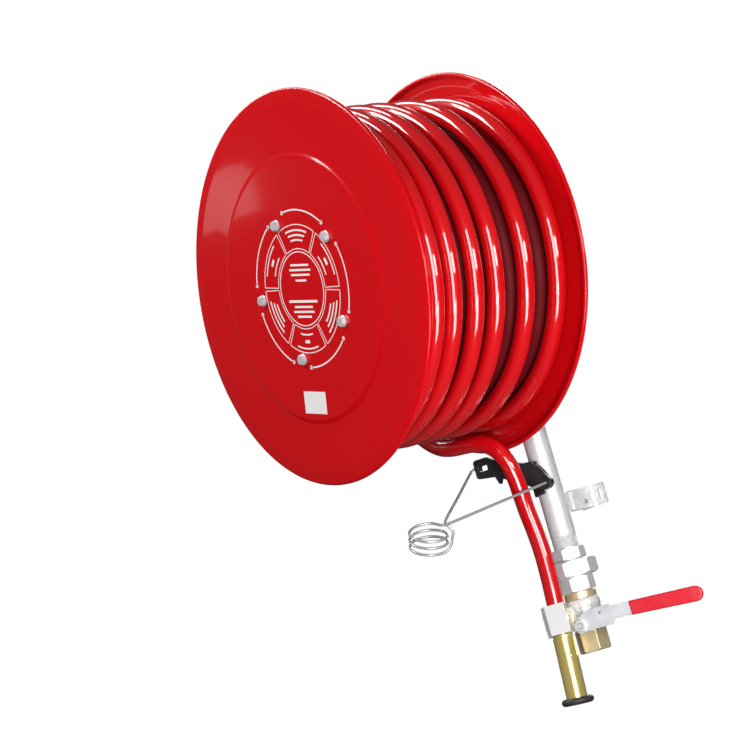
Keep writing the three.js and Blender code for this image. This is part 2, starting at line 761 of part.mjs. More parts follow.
// The spring ring in the spindle's groove, open over a few degrees, with the washer behind it.
function retainingRing() {
  const low = HUB_BLOCK_START - GAP - WASHER_THICKNESS - GAP - CLIP_WIDTH;
  const inner = SPINDLE_RADIUS - CLIP_GROOVE_DEPTH + GAP;
  const outer = hubWide - 1;
  const ring = turned([[inner, low], [outer, low], [outer, low + CLIP_WIDTH - GAP], [inner, low + CLIP_WIDTH - GAP]]);
  return cut(ring, block(-3, 3, low - 1, low + CLIP_WIDTH + 1, 0, outer + 2));
}

function thrustWasher() {
  const high = HUB_BLOCK_START - GAP;
  const low = high - WASHER_THICKNESS;
  return turned([[hubInside, low], [hubWide - GAP, low], [hubWide - GAP, high], [hubInside, high]]);
}

// The tab welded to the back of the pipe.
function bracketTab(z) {
  const y = RISER_Y + RISER_RADIUS;
  const plate = block(-TAB_THICKNESS / 2, TAB_THICKNESS / 2, y - 2, y + TAB_LENGTH, z - TAB_HEIGHT / 2, z + TAB_HEIGHT / 2);
  return cut(plate, onRiser(rodUp(RISER_RADIUS + GAP, z - TAB_HEIGHT, z + TAB_HEIGHT)));
}

// A bent plate from the tab to the wall, with a slotted foot; side is 1 on the right and -1 on the left.
function bracketPlate(z, side) {
  const webX = TAB_THICKNESS / 2 + GAP + PLATE_THICKNESS / 2;
  const footY = WALL_Y - PLATE_THICKNESS / 2;
  const start = RISER_Y + RISER_RADIUS + TAB_LENGTH - PLATE_OVERLAP;
  const line = [[webX, start], [webX, footY], [PLATE_REACH, footY]].map(([x, y]) => [x * side, y]);
  const low = z - BRACKET_HEIGHT / 2;
  const plate = bentStrip(line, PLATE_THICKNESS, PLATE_BEND, low, low + BRACKET_HEIGHT);
  const slot = new THREE.Shape();
  const arc = SLOT_HEIGHT / 2 - SLOT_WIDTH / 2;
  slot.absarc(SLOT_X * side, -arc, SLOT_WIDTH / 2, Math.PI, 2 * Math.PI);
  slot.absarc(SLOT_X * side, arc, SLOT_WIDTH / 2, 0, Math.PI);
  const slotCut = slab(slot, WALL_Y - 2 * PLATE_THICKNESS, WALL_Y + 2).translate([0, 0, z]);
  const hole = rodAcross(CROSS_HOLE_RADIUS, -10, 10, SMALL_SIDES);
  return cut(plate, slotCut, hole.translate([0, WALL_Y - CROSS_HOLE_FROM_WALL, z - CROSS_HOLE_DROP]));
}

// ---------------------------------------------------------------- union and nipple

const nutTop = UPPER_NECK_Z - UPPER_NECK_LENGTH - GAP;
const nutBottom = nutTop - UNION_NUT_LENGTH;
const collarTop = nutTop - UNION_LIP - GAP;
const collarBottom = collarTop - UNION_COLLAR_THICKNESS;
const gasketTop = collarBottom - GAP;
const gasketBottom = gasketTop - GASKET_THICKNESS;
const lowerNeckTop = nutBottom - GAP;
const lowerNeckBottom = lowerNeckTop - LOWER_NECK_LENGTH;
const nippleTop = lowerNeckBottom - GAP;
const nippleBottom = nippleTop - NIPPLE_LENGTH;
const bodyTop = nippleBottom - GAP;
const bodyBottom = bodyTop - BODY_LENGTH;
const stemZ = bodyTop - STEM_BELOW_TOP;
const threadHole = NIPPLE_THREAD + GAP;

function unionTailUpper() {
  const hex = hexUp(UPPER_NECK_CORNER, UPPER_NECK_Z - UPPER_NECK_LENGTH, UPPER_NECK_Z);
  const neck = rodUp(NECK_RADIUS, collarTop - 1, UPPER_NECK_Z - UPPER_NECK_LENGTH + 1);
  const collar = rodUp(UNION_COLLAR_RADIUS, collarBottom, collarTop);
  const socket = rodUp(RISER_RADIUS + GAP, UPPER_NECK_Z - SOCKET_DEPTH, UPPER_NECK_Z + 1);
  const way = rodUp(WATERWAY, collarBottom - 1, UPPER_NECK_Z);
  return onRiser(cut(join(hex, neck, collar), socket, way));
}

function unionNut() {
  const lipHole = rodUp(NECK_RADIUS + RUNNING_GAP, nutTop - UNION_LIP - 1, nutTop + 1);
  const inside = rodUp(UNION_COLLAR_RADIUS + RUNNING_GAP, nutBottom - 1, nutTop - UNION_LIP);
  return onRiser(cut(hexUp(UNION_NUT_CORNER, nutBottom, nutTop), lipHole, inside));
}

const unionGasket = () => onRiser(tubeUp(GASKET_RADIUS, WATERWAY + 1, gasketBottom, gasketTop));

function unionTailLower() {
  const head = rodUp(UNION_COLLAR_RADIUS, lowerNeckTop - 1, gasketBottom - GAP);
  const hex = hexUp(LOWER_NECK_CORNER, lowerNeckBottom, lowerNeckTop);
  const way = rodUp(WATERWAY, lowerNeckBottom - 1, gasketBottom + 1);
  const socket = rodUp(threadHole, lowerNeckBottom - 1, lowerNeckBottom + NIPPLE_THREAD_LENGTH);
  return onRiser(cut(join(head, hex), way, socket));
}

function valveNipple() {
  const reach = NIPPLE_THREAD_LENGTH - GAP;
  return onRiser(
    turnedUp([
      [NIPPLE_BORE, nippleBottom - reach],
      [NIPPLE_THREAD, nippleBottom - reach],
      [NIPPLE_THREAD, nippleBottom],
      [NIPPLE_RADIUS - 0.8, nippleBottom],
      [NIPPLE_RADIUS, nippleBottom + 0.8],
      [NIPPLE_RADIUS, nippleTop - 0.8],
      [NIPPLE_RADIUS - 0.8, nippleTop],
      [NIPPLE_THREAD, nippleTop],
      [NIPPLE_THREAD, nippleTop + reach],
      [NIPPLE_BORE, nippleTop + reach],
    ]),
  );
}

// ---------------------------------------------------------------- valve
// In the valve set's own frame the riser's axis is Z, the lever points along +X and the stem along -Y.

const spigotEnd = stemZ - SEAT_END - 1;
const towardsStem = (part) => part.rotate([180, 0, 0]); // turns +Y to -Y

const stemRod = (radius, near, far, sides = SMALL_SIDES) =>
  towardsStem(rod(radius, near, far, sides)).translate([0, 0, stemZ]);

function valveBody() {
  const outside = turnedUp([
    [0, bodyBottom],
    [BODY_RADIUS - 2, bodyBottom],
    [BODY_RADIUS, bodyBottom + 2],
    [BODY_RADIUS, bodyTop - 5],
    [BODY_RADIUS - 2, bodyTop],
    [0, bodyTop],
  ]);
  const spigot = rodUp(SPIGOT_RADIUS, spigotEnd, bodyBottom + 1);
  const boss = stemRod(BOSS_RADIUS, 0, BOSS_REACH);
  const neck = stemRod(STEM_NECK_RADIUS, 0, STEM_NECK_REACH);
  const hexRoom = tubeUp(INLET_CORNER + GAP, SPIGOT_RADIUS, bodyBottom - 30, bodyBottom - 0.01);
  const socket = rodUp(threadHole, bodyTop - NIPPLE_THREAD_LENGTH, bodyTop + 1);
  const way = rodUp(BALL_BORE, stemZ, bodyTop);
  const chamber = rodUp(BALL_RADIUS + 2 * GAP, spigotEnd - 1, stemZ + SEAT_END + GAP);
  const stemHole = stemRod(STEM_RADIUS + GAP, 0, STEM_NECK_REACH + 1);
  const packingRoom = stemRod(PACKING_RADIUS, PACKING_START, STEM_NECK_REACH + 1);
  const stemEnd = join(cut(join(boss, neck), hexRoom), outside, spigot);
  return cut(stemEnd, socket, way, chamber, stemHole, packingRoom);
}

function valveInlet() {
  const top = bodyBottom - GAP;
  const bottom = top - INLET_LENGTH;
  const hex = hexUp(INLET_CORNER, bottom, top);
  const room = rodUp(SPIGOT_RADIUS + GAP, spigotEnd - GAP, top + 1);
  const way = rodUp(BALL_BORE, bottom, top);
  const thread = rodUp(INLET_THREAD, bottom - 1, bottom + INLET_THREAD_DEPTH);
  return cut(hex, room, way, thread);
}

// A soft ring above (1) or below (-1) the ball.
function ballSeat(side) {
  const ring = tubeUp(BALL_RADIUS - GAP, BALL_BORE + GAP, SEAT_START, SEAT_END);
  const ballRoom = solid(new THREE.SphereGeometry(BALL_RADIUS + RUNNING_GAP, 24, 16));
  const seat = cut(ring, ballRoom);
  return (side > 0 ? seat : seat.rotate([180, 0, 0])).translate([0, 0, stemZ]);
}

const TONGUE = { halfWidth: 2.3, halfLength: 6.6, start: 12.3 };

function valveBall() {
  const ball = solid(new THREE.SphereGeometry(BALL_RADIUS, 24, 16));
  const bore = rodAcross(BALL_BORE, -20, 20, SMALL_SIDES);
  const { halfWidth, halfLength, start } = TONGUE;
  const slot = block(
    -halfWidth - GAP,
    halfWidth + GAP,
    -BALL_RADIUS - 2,
    -start + GAP,
    -halfLength - GAP,
    halfLength + GAP,
  );
  return cut(ball, bore, slot).translate([0, 0, stemZ]);
}

function valveStem() {
  const { halfWidth, halfLength, start } = TONGUE;
  const tongueEnd = BALL_RADIUS + GAP;
  const shoulder = LEVER_REACH - GAP;
  const tongue = block(-halfWidth, halfWidth, -tongueEnd - 0.5, -start, -halfLength, halfLength);
  const round = stemRod(STEM_RADIUS, tongueEnd, shoulder);
  const inRound = stemRod(STEM_RADIUS, 0, 20);
  const end = stemRod(STEM_END_RADIUS, shoulder - 1, STEM_END_REACH);
  return join(tongue.translate([0, 0, stemZ]).intersect(inRound), round, end);
}

const stemPacking = () =>
  cut(
    stemRod(PACKING_RADIUS - GAP, PACKING_START + GAP, STEM_NECK_REACH),
    stemRod(STEM_RADIUS + GAP, 0, STEM_NECK_REACH + 1),
  );

function packingNut() {
  const near = PLATE_S + HOLDER_PLATE + GAP;
  const hex = hexUp(cornerOf(PACKING_NUT_FLATS), near, near + PACKING_NUT_LENGTH, 12);
  const bar = hex.rotate([90, 0, 0]).translate([0, 0, stemZ]);
  const thread = stemRod(STEM_NECK_RADIUS + GAP, 0, STEM_NECK_REACH + GAP);
  return cut(bar, thread, stemRod(STEM_RADIUS + RUNNING_GAP, 0, 60));
}

// ---------------------------------------------------------------- lever

const droop = radians(-LEVER_DROOP);

// The lever's narrow strip as a flat shape, from one distance along it to another.
function stripCorners(from, to, width) {
  const middle = (x) => LEVER_RISE + (x - LEVER_ROOT_END) * Math.tan(droop);
  const half = width / 2 / Math.cos(droop);
  return { from, to, low: (x) => middle(x) - half, high: (x) => middle(x) + half, middle };
}

function leverPlate() {
  const strip = stripCorners(LEVER_ROOT_END, LEVER_LENGTH - SLEEVE_WALL - 8, LEVER_STRIP_WIDTH);
  const inner = stripCorners(SLEEVE_START, strip.to, SLEEVE_WIDTH - 2 * SLEEVE_WALL - 2 * GAP);
  const shape = new THREE.Shape();
  shape.absarc(0, 0, LEVER_ROOT_RADIUS, radians(110), radians(270));
  shape.lineTo(LEVER_ROOT_START, LEVER_ROOT_BOTTOM);
  shape.lineTo(LEVER_ROOT_END - 4, LEVER_ROOT_BOTTOM);
  shape.lineTo(LEVER_ROOT_END, strip.low(LEVER_ROOT_END));
  shape.lineTo(inner.from - 2, strip.low(inner.from - 2));
  shape.lineTo(inner.from, inner.low(inner.from));
  shape.lineTo(inner.to, inner.low(inner.to));
  shape.lineTo(inner.to, inner.high(inner.to));
  shape.lineTo(inner.from, inner.high(inner.from));
  shape.lineTo(inner.from - 2, strip.high(inner.from - 2));
  shape.lineTo(LEVER_ROOT_END, strip.high(LEVER_ROOT_END));
  shape.lineTo(LEVER_ROOT_END - 4, LEVER_ROOT_TOP);
  shape.lineTo(LEVER_ROOT_START, LEVER_ROOT_TOP);
  const plate = slab(shape, -LEVER_REACH - LEVER_THICKNESS, -LEVER_REACH).translate([0, 0, stemZ]);
  const hole = stemRod(STEM_END_RADIUS + GAP, 0, 80);
  const lock = stemRod(LOCK_HOLE_RADIUS, 0, 80, 16).translate([LOCK_HOLE[0], 0, LOCK_HOLE[1]]);
  return cut(plate, hole, lock);
}

// The dipped vinyl sleeve, with a pocket for the strip.
function leverSleeve() {
  const outer = stripCorners(SLEEVE_START, LEVER_LENGTH, SLEEVE_WIDTH);
  const round = SLEEVE_WIDTH / 2;
  const shape = new THREE.Shape();
  shape.moveTo(outer.from, outer.high(outer.from) - 1);
  shape.lineTo(outer.from, outer.low(outer.from) + 1);
  shape.lineTo(outer.to - round, outer.low(outer.to - round));
  shape.absarc(outer.to - round, outer.middle(outer.to - round), round, -Math.PI / 2, Math.PI / 2);
  const bevel = 2;
  const geometry = new THREE.ExtrudeGeometry(shape, {
    depth: SLEEVE_THICKNESS - 2 * bevel,
    bevelEnabled: true,
    bevelThickness: bevel,
    bevelSize: bevel,
    bevelOffset: -bevel,
    bevelSegments: 2,
    curveSegments: 5,
  });
  const middleY = -LEVER_REACH - LEVER_THICKNESS / 2;
  geometry.rotateX(Math.PI / 2);
  geometry.translate(0, middleY + SLEEVE_THICKNESS / 2 - bevel, stemZ);
  const tip = LEVER_LENGTH - SLEEVE_WALL - 8 + GAP;
  const pocket = stripCorners(SLEEVE_START - 5, tip, SLEEVE_WIDTH - 2 * SLEEVE_WALL);
  const room = new THREE.Shape([
    new THREE.Vector2(pocket.from, pocket.low(pocket.from)),
    new THREE.Vector2(pocket.to, pocket.low(pocket.to)),
    new THREE.Vector2(pocket.to, pocket.high(pocket.to)),
    new THREE.Vector2(pocket.from, pocket.high(pocket.from)),
  ]);
  const half = LEVER_THICKNESS / 2 + GAP;
  return cut(solid(geometry), slab(room, middleY - half, middleY + half).translate([0, 0, stemZ]));
}

function leverNut() {
  const near = LEVER_REACH + LEVER_THICKNESS + GAP;
  const hex = hexUp(cornerOf(LEVER_NUT_FLATS), near, near + LEVER_NUT_HEIGHT, 12);
  const bar = hex.rotate([90, 0, 0]).translate([0, 0, stemZ]);
  return cut(bar, stemRod(STEM_END_RADIUS + GAP, 0, 80));
}

// ---------------------------------------------------------------- nozzle and its holder

const nozzlePivotZ = bodyTop - NOZZLE_PIVOT_DROP;

// The back plate, held under the packing nut.
function holderPlate() {
  const left = NOZZLE_X - COUPLING_RADIUS - STRAP_CLEARANCE - STRAP_THICKNESS - STRAP_FOOT - 2;
  const shape = new THREE.Shape();
  shape.moveTo(left, bodyTop - HOLDER_PLATE_TOP);
  shape.lineTo(left, bodyTop - HOLDER_PLATE_BOTTOM);
  shape.lineTo(-HOLDER_EYE_RADIUS, bodyTop - HOLDER_PLATE_BOTTOM);
  shape.absarc(0, stemZ, HOLDER_EYE_RADIUS, Math.PI * 1.15, Math.PI * 2.5);
  shape.lineTo(-HOLDER_EYE_RADIUS, bodyTop - HOLDER_PLATE_TOP);
  const plate = slab(shape, -PLATE_S - HOLDER_PLATE, -PLATE_S);
  return cut(plate, stemRod(STEM_NECK_RADIUS + GAP, 0, 60));
}

// The strap round the left and front of the nozzle, its foot on the back plate.
function holderStrap() {
  const lean = Math.tan(radians(NOZZLE_LEAN)) * (STRAP_HEIGHT - NOZZLE_PIVOT_DROP);
  const ferruleRadius = HOSE_RADIUS + GAP + FERRULE_WALL;
  const wallX = NOZZLE_X - Math.max(ferruleRadius, COUPLING_RADIUS + lean) - STRAP_CLEARANCE - STRAP_THICKNESS / 2;
  const footS = PLATE_S + HOLDER_PLATE + GAP + STRAP_THICKNESS / 2;
  const frontS = NOZZLE_S + Math.max(ferruleRadius, COUPLING_RADIUS) + STRAP_CLEARANCE + STRAP_THICKNESS / 2;
  const line = [
    [wallX - STRAP_FOOT, -footS],
    [wallX, -footS],
    [wallX, -frontS],
    [STRAP_RIGHT_X, -frontS],
  ];
  const top = bodyTop - STRAP_TOP;
  return bentStrip(line, STRAP_THICKNESS, STRAP_BEND, top - STRAP_HEIGHT, top);
}

// Pieces of the nozzle, along its own axis from the pivot down.
function hoseFerrule() {
  const inner = (HOSE_RADIUS + GAP) / Math.cos(Math.PI / ROUND_SIDES);
  const outer = inner + FERRULE_WALL;
  return tubeUp(outer, inner, -HOSE_END_DROP, FERRULE_RISE - HOSE_END_DROP);
}

const couplingTop = HOSE_END_DROP + GAP;
const couplingBottom = couplingTop + COUPLING_LENGTH;
const nozzleTop = couplingBottom + GAP;
const nozzleBottom = nozzleTop + NOZZLE_LENGTH;

const nozzleCoupling = () =>
  turnedUp([
    [COUPLING_BORE, -couplingBottom - COUPLING_SPIGOT_LENGTH],
    [COUPLING_SPIGOT, -couplingBottom - COUPLING_SPIGOT_LENGTH],
    [COUPLING_SPIGOT, -couplingBottom],
    [COUPLING_RADIUS, -couplingBottom],
    [COUPLING_RADIUS, -couplingTop],
    [COUPLING_BORE, -couplingTop],
  ]);

function nozzleBarrel() {
  const wideEnd = nozzleTop + COUPLING_SPIGOT_LENGTH + 4;
  return turnedUp([
    [NOZZLE_WIDE_BORE, -nozzleTop],
    [NOZZLE_SHOULDER - 0.8, -nozzleTop],
    [NOZZLE_SHOULDER, -nozzleTop - 0.8],
    [NOZZLE_SHOULDER, -nozzleTop - 4],
    [NOZZLE_RADIUS, -nozzleTop - 5.5],
    [NOZZLE_RADIUS, -nozzleBottom],
    [NOZZLE_MOUTH + 1.5, -nozzleBottom],
    [NOZZLE_MOUTH, -nozzleBottom + 3],
    [NOZZLE_MOUTH, -nozzleBottom + 18],
    [NOZZLE_MID_BORE, -nozzleBottom + 24],
    [NOZZLE_MID_BORE, -wideEnd],
    [NOZZLE_WIDE_BORE, -wideEnd + 3],
  ]);
}

function nozzleTip() {
  const inner = (NOZZLE_RADIUS + GAP) / Math.cos(Math.PI / ROUND_SIDES);
  const half = TIP_THICKNESS / 2;
  const low = -nozzleBottom - TIP_LIP;
  const outline = [[inner, low]];
  for (let k = 0; k <= 6; k++) {
    const angle = radians(-90 + 30 * k);
    outline.push([TIP_RADIUS - half + half * Math.cos(angle), low + half + half * Math.sin(angle)]);
  }
  outline.push([inner, low + TIP_THICKNESS]);
  return turnedUp(outline);
}

// ---------------------------------------------------------------- hose guide

// The moulded arm: a sloping bar with an eye at each end, and a clip that snaps round the riser.
function guideArm() {
  const shape = new THREE.Shape();
  const [eyeX, eyeZ] = BOSS_EYE;
  shape.moveTo(-88.4, 0.5);
  shape.lineTo(-72, 0.5);
  shape.lineTo(-62, -5.5);
  shape.lineTo(-16, -25);
  shape.lineTo(-4, -26);
  shape.lineTo(8, -37);
  shape.absarc(eyeX, eyeZ, BOSS_EYE_RADIUS, radians(48), radians(-110), true);
  shape.lineTo(-4, -68);
  shape.lineTo(-22, -56);
  shape.lineTo(-50, -39.5);
  shape.lineTo(-57, -36.5);
  shape.lineTo(-60.5, -44);
  shape.lineTo(-64.5, -32);
  shape.lineTo(-88, -28.5);
  shape.absarc(-88.4, -23.5, 5, radians(-90), radians(-180), true);
  shape.absarc(-88.4, -4.5, 5, radians(180), radians(90), true);
  const window = new THREE.Path();
  window.moveTo(-86, -18.5);
  window.lineTo(-72, -18.5);
  window.lineTo(-72, -10);
  window.lineTo(-86, -10);
  shape.holes.push(window);
  const bar = slab(shape, ARM_FRONT, ARM_BACK);
  const clip = new THREE.Shape();
  const halfStep = radians(CLIP_OPEN_FROM + 360 - CLIP_OPEN_TO) / CLIP_STEPS / 2;
  const inner = (RISER_RADIUS + RUNNING_GAP) / Math.cos(halfStep);
  const outer = inner + CLIP_WALL;
  clip.absarc(0, 0, outer, radians(CLIP_OPEN_TO), radians(CLIP_OPEN_FROM + 360), false);
  clip.absarc(0, 0, inner, radians(CLIP_OPEN_FROM + 360), radians(CLIP_OPEN_TO), true);
  const geometry = new THREE.ExtrudeGeometry(clip, {
    depth: CLIP_TOP - CLIP_BOTTOM,
    bevelEnabled: false,
    curveSegments: CLIP_STEPS / 2,
  });
  geometry.translate(0, 0, CLIP_BOTTOM);
  const arm = join(bar, solid(geometry));
  return cut(arm, wireSocket(wirePlan.right, wirePlan.rightIn), wireSocket(wirePlan.left, vector(1, 0, 0)));
}

// The round hole that one end of the wire sits in.
function wireSocket(mouth, inward) {
  const hole = rod(WIRE_RADIUS + GAP, -8, WIRE_SOCKET + GAP, 16);
  const turn = new THREE.Quaternion().setFromUnitVectors(vector(0, 1, 0), inward);
  const place = new THREE.Matrix4().compose(mouth, turn, vector(1, 1, 1));
  return hole.transform(place.elements);
}

// The two legs of the wire lie in one sloping plane, and its coil hangs below that plane.
const wirePlan = (() => {
  const right = vector(...WIRE_RIGHT);
  const left = vector(...WIRE_LEFT);
  const meet = vector(...WIRE_MEET);
  const alongArm = right.clone().sub(left).normalize();
  const up = alongArm.clone().cross(meet.clone().sub(right)).normalize();
  if (up.z < 0) up.negate();
  const backwards = up.clone().cross(alongArm);
  const rightIn = right.clone().sub(meet).normalize();
  const at = (along, back, height) =>
    right
      .clone()
      .addScaledVector(alongArm, along)
      .addScaledVector(backwards, back)
      .addScaledVector(up, height);
  const flat = (p) => {
    const offset = p.clone().sub(right);
    return [offset.dot(alongArm), offset.dot(backwards)];
  };
  return { right, left: vector(-93.4, WIRE_LEFT[1], WIRE_LEFT[2]), meet, rightIn, at, flat, up, leftCorner: left };
})();

function wirePoints() {
  const { right, rightIn, at, flat, meet, left, leftCorner } = wirePlan;
  const cross = WIRE_RADIUS + GAP;
  const [meetAlong, meetBack] = flat(meet);
  const [cornerAlong, cornerBack] = flat(leftCorner);
  const onCoil = (angle, radius) => [
    COIL_CENTRE[0] + radius * Math.cos(radians(angle)),
    COIL_CENTRE[1] + radius * Math.sin(radians(angle)),
  ];
  const points = [right.clone().addScaledVector(rightIn, WIRE_SOCKET)];
  points.push(right.clone().addScaledVector(rightIn, -4));
  // The right leg, dipping under the crossing, then round the coil from behind.
  const low = -cross - 1;
  const legShare = (part) => at(meetAlong * part, meetBack * part, low * part);
  points.push(legShare(0.5), legShare(0.93));
  points.push(at(meetAlong - 4, meetBack - 2, low));
  const steps = Math.round((COIL_END_ANGLE - COIL_START_ANGLE) / (360 / STEPS_PER_CURL));
  for (let k = 0; k <= steps; k++) {
    const angle = COIL_START_ANGLE + ((COIL_END_ANGLE - COIL_START_ANGLE) * k) / steps;
    points.push(at(...onCoil(angle, COIL_RADIUS), low - (COIL_HEIGHT * k) / steps));
  }
  // Up the outside of the coil, over the crossing and along the left leg.
  const outside = 2 * WIRE_RADIUS + 1;
  points.push(at(...onCoil(10, COIL_RADIUS + outside), low - 0.78 * COIL_HEIGHT));
  points.push(at(...onCoil(27, COIL_RADIUS + outside + 1.5), low - 0.45 * COIL_HEIGHT));
  points.push(at(...onCoil(40, COIL_RADIUS + outside + 3), low - 0.15 * COIL_HEIGHT));
  points.push(at(meetAlong + 5.9, meetBack - 6.1, 1));
  const back = (part, height) =>
    at(
      meetAlong + (cornerAlong - meetAlong) * part,
      meetBack + (cornerBack - meetBack) * part,
      height,
    );
  points.push(back(0.04, cross + GAP), back(0.5, cross / 2), back(0.965, 0.5));
  points.push(leftCorner.clone().lerp(left, 0.35));
  points.push(left.clone().add(vector(WIRE_SOCKET, 0, 0)));
  return points;
}

// ---------------------------------------------------------------- assembly

const reel = new THREE.Group();
const pieces = new THREE.Group(); // everything, placed from the drum's axis
reel.add(pieces);

// Fixed pieces
pieces.add(mesh("riser_pipe", riserPipe(), galvanised));
pieces.add(mesh("riser_cap", riserCap(), blackPlastic));
pieces.add(mesh("spindle", spindle(), steel));
pieces.add(mesh("retaining_ring", retainingRing(), steel));
for (const [level, z] of [["upper", UPPER_BRACKET_Z], ["lower", LOWER_BRACKET_Z]]) {
  pieces.add(mesh(`${level}_bracket_tab`, bracketTab(z), galvanised));
  pieces.add(mesh(`${level}_bracket_right`, bracketPlate(z, 1), galvanised));
  pieces.add(mesh(`${level}_bracket_left`, bracketPlate(z, -1), galvanised));
}
pieces.add(mesh("union_tail_upper", unionTailUpper(), galvanised));
pieces.add(mesh("union_nut", unionNut(), galvanised));
pieces.add(mesh("union_gasket", unionGasket(), blackRubber));
pieces.add(mesh("union_tail_lower", unionTailLower(), galvanised));
pieces.add(mesh("valve_nipple", valveNipple(), brass));

// Drum
const drum = new THREE.Group();
pieces.add(drum);
drum.add(mesh("front_disc", frontDisc(), redPaint));
drum.add(mesh("rear_disc", rearDisc(), redPaint));
drum.add(mesh("drum_barrel", drumBarrel(), redPaint));
drum.add(mesh("drum_hub", drumHub(), brass));
drum.add(mesh("rear_flange", rearFlange(), galvanised));
drum.add(mesh("front_bush", bush(hubBlockEnd + GAP), whitePlastic));
drum.add(mesh("rear_bush", bush(hubEnd - BUSH_LENGTH), whitePlastic));
drum.add(mesh("thrust_washer", thrustWasher(), whitePlastic));
drum.add(mesh("front_seal", sealRing(portY - SEAL_OFFSET), blackRubber));
drum.add(mesh("rear_seal", sealRing(portY + SEAL_OFFSET), blackRubber));
drum.add(mesh("feed_pipe", feedPipe(), brass));
drum.add(mesh("hose_core", hoseCore(), redRubber));
drum.add(mesh("hose_winding", tubeThrough(winding, HOSE_RADIUS, HOSE_SIDES, vector(1, 0, 0)), redRubber));
boltPlaces.forEach(([x, z], k) => {
  const front = mesh(`front_bolt_${k + 1}`, discBolt(), steel);
  front.position.set(x, 0, z);
  const rear = mesh(`rear_bolt_${k + 1}`, behind(discBolt()), steel);
  rear.position.set(x, 0, z);
  drum.add(front, rear);
});

// Valve set, turned about the riser
const valve = new THREE.Group();
valve.position.set(0, RISER_Y, 0);
valve.rotation.z = radians(VALVE_HEADING);
pieces.add(valve);
valve.add(mesh("valve_body", valveBody(), chrome));
valve.add(mesh("valve_inlet", valveInlet(), brass));
valve.add(mesh("upper_ball_seat", ballSeat(1), whitePlastic));
valve.add(mesh("lower_ball_seat", ballSeat(-1), whitePlastic));
valve.add(mesh("stem_packing", stemPacking(), whitePlastic));
valve.add(mesh("packing_nut", packingNut(), steel));
valve.add(mesh("valve_ball", valveBall(), chrome));
valve.add(mesh("valve_stem", valveStem(), steel));
valve.add(mesh("lever", leverPlate(), steel));
valve.add(mesh("lever_sleeve", leverSleeve(), redVinyl));
valve.add(mesh("lever_nut", leverNut(), steel));
valve.add(mesh("nozzle_holder_plate", holderPlate(), steel));
valve.add(mesh("nozzle_holder_strap", holderStrap(), chrome));

// Nozzle, leaning in its holder
const nozzle = new THREE.Group();
nozzle.position.set(NOZZLE_X, -NOZZLE_S, nozzlePivotZ);
nozzle.rotation.y = radians(NOZZLE_LEAN);
valve.add(nozzle);
nozzle.add(mesh("hose_ferrule", hoseFerrule(), brass));
nozzle.add(mesh("nozzle_coupling", nozzleCoupling(), brass));
nozzle.add(mesh("nozzle_barrel", nozzleBarrel(), brass));
nozzle.add(mesh("nozzle_tip", nozzleTip(), blackRubber));

// Hose guide, turned about the riser
const guide = new THREE.Group();
guide.position.set(0, RISER_Y, -DISC_RADIUS);
guide.rotation.z = radians(GUIDE_HEADING);
pieces.add(guide);
const wire = wirePoints();
guide.add(mesh("guide_arm", guideArm(), blackPlastic));
guide.add(mesh("wire_guide", tubeThrough(wire, WIRE_RADIUS, WIRE_SIDES, vector(0, 0, 1)), steel));

// The tail of the hose, from the winding's end to the nozzle, with a straight stretch at each end.
pieces.updateMatrixWorld(true);
const alongNozzle = (drop) => nozzle.localToWorld(vector(0, 0, -drop));
const tailStart = windingEnd.clone().addScaledVector(windingOut, GAP);
const tail = new THREE.CatmullRomCurve3(
  [
    tailStart,
    tailStart.clone().addScaledVector(windingOut, 2 * HOSE_RADIUS),
    ...TAIL_POINTS.map(([x, y, z]) => vector(x, y, z)),
    alongNozzle(HOSE_END_DROP - 4 * HOSE_RADIUS),
    alongNozzle(HOSE_END_DROP - 2 * HOSE_RADIUS),
    alongNozzle(HOSE_END_DROP),
  ],
  false,
  "catmullrom",
  0.5,
);
const section = new THREE.Shape();
section.absarc(0, 0, HOSE_RADIUS, 0, 2 * Math.PI);
const tailGeometry = new THREE.ExtrudeGeometry(section, {
  steps: TAIL_STEPS,
  curveSegments: TAIL_SIDES / 2,
  extrudePath: tail,
});
pieces.add(mesh("hose_tail", tailGeometry, redRubber));

// The origin is on the wall, at the lower right foot.
pieces.position.set(-ORIGIN_X, -WALL_Y, -LOWER_BRACKET_Z);

console.log("winding, least gap to itself:", leastGap(fine(winding), HOSE_RADIUS).toFixed(2));
console.log("wire guide, least gap to itself:", leastGap(fine(wire), WIRE_RADIUS).toFixed(2));
console.log("hose tail, length:", tail.getLength().toFixed(1));

export default reel;
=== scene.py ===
# %% [markdown]
# # A wall-mounted fire hose reel
# A drum of red hose turns on a hollow spindle, which stands out from an upright water pipe. Below the drum
# the hose drops through a wire guide to a brass nozzle, held in a strap beside the ball valve.
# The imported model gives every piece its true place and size. This script dresses it: it replaces the plain
# solids by finished ones, gives every surface a procedural material, and lights the reel as in a studio.

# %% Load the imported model
import json
import math

import bmesh
import bpy
from mathutils import Matrix, Vector


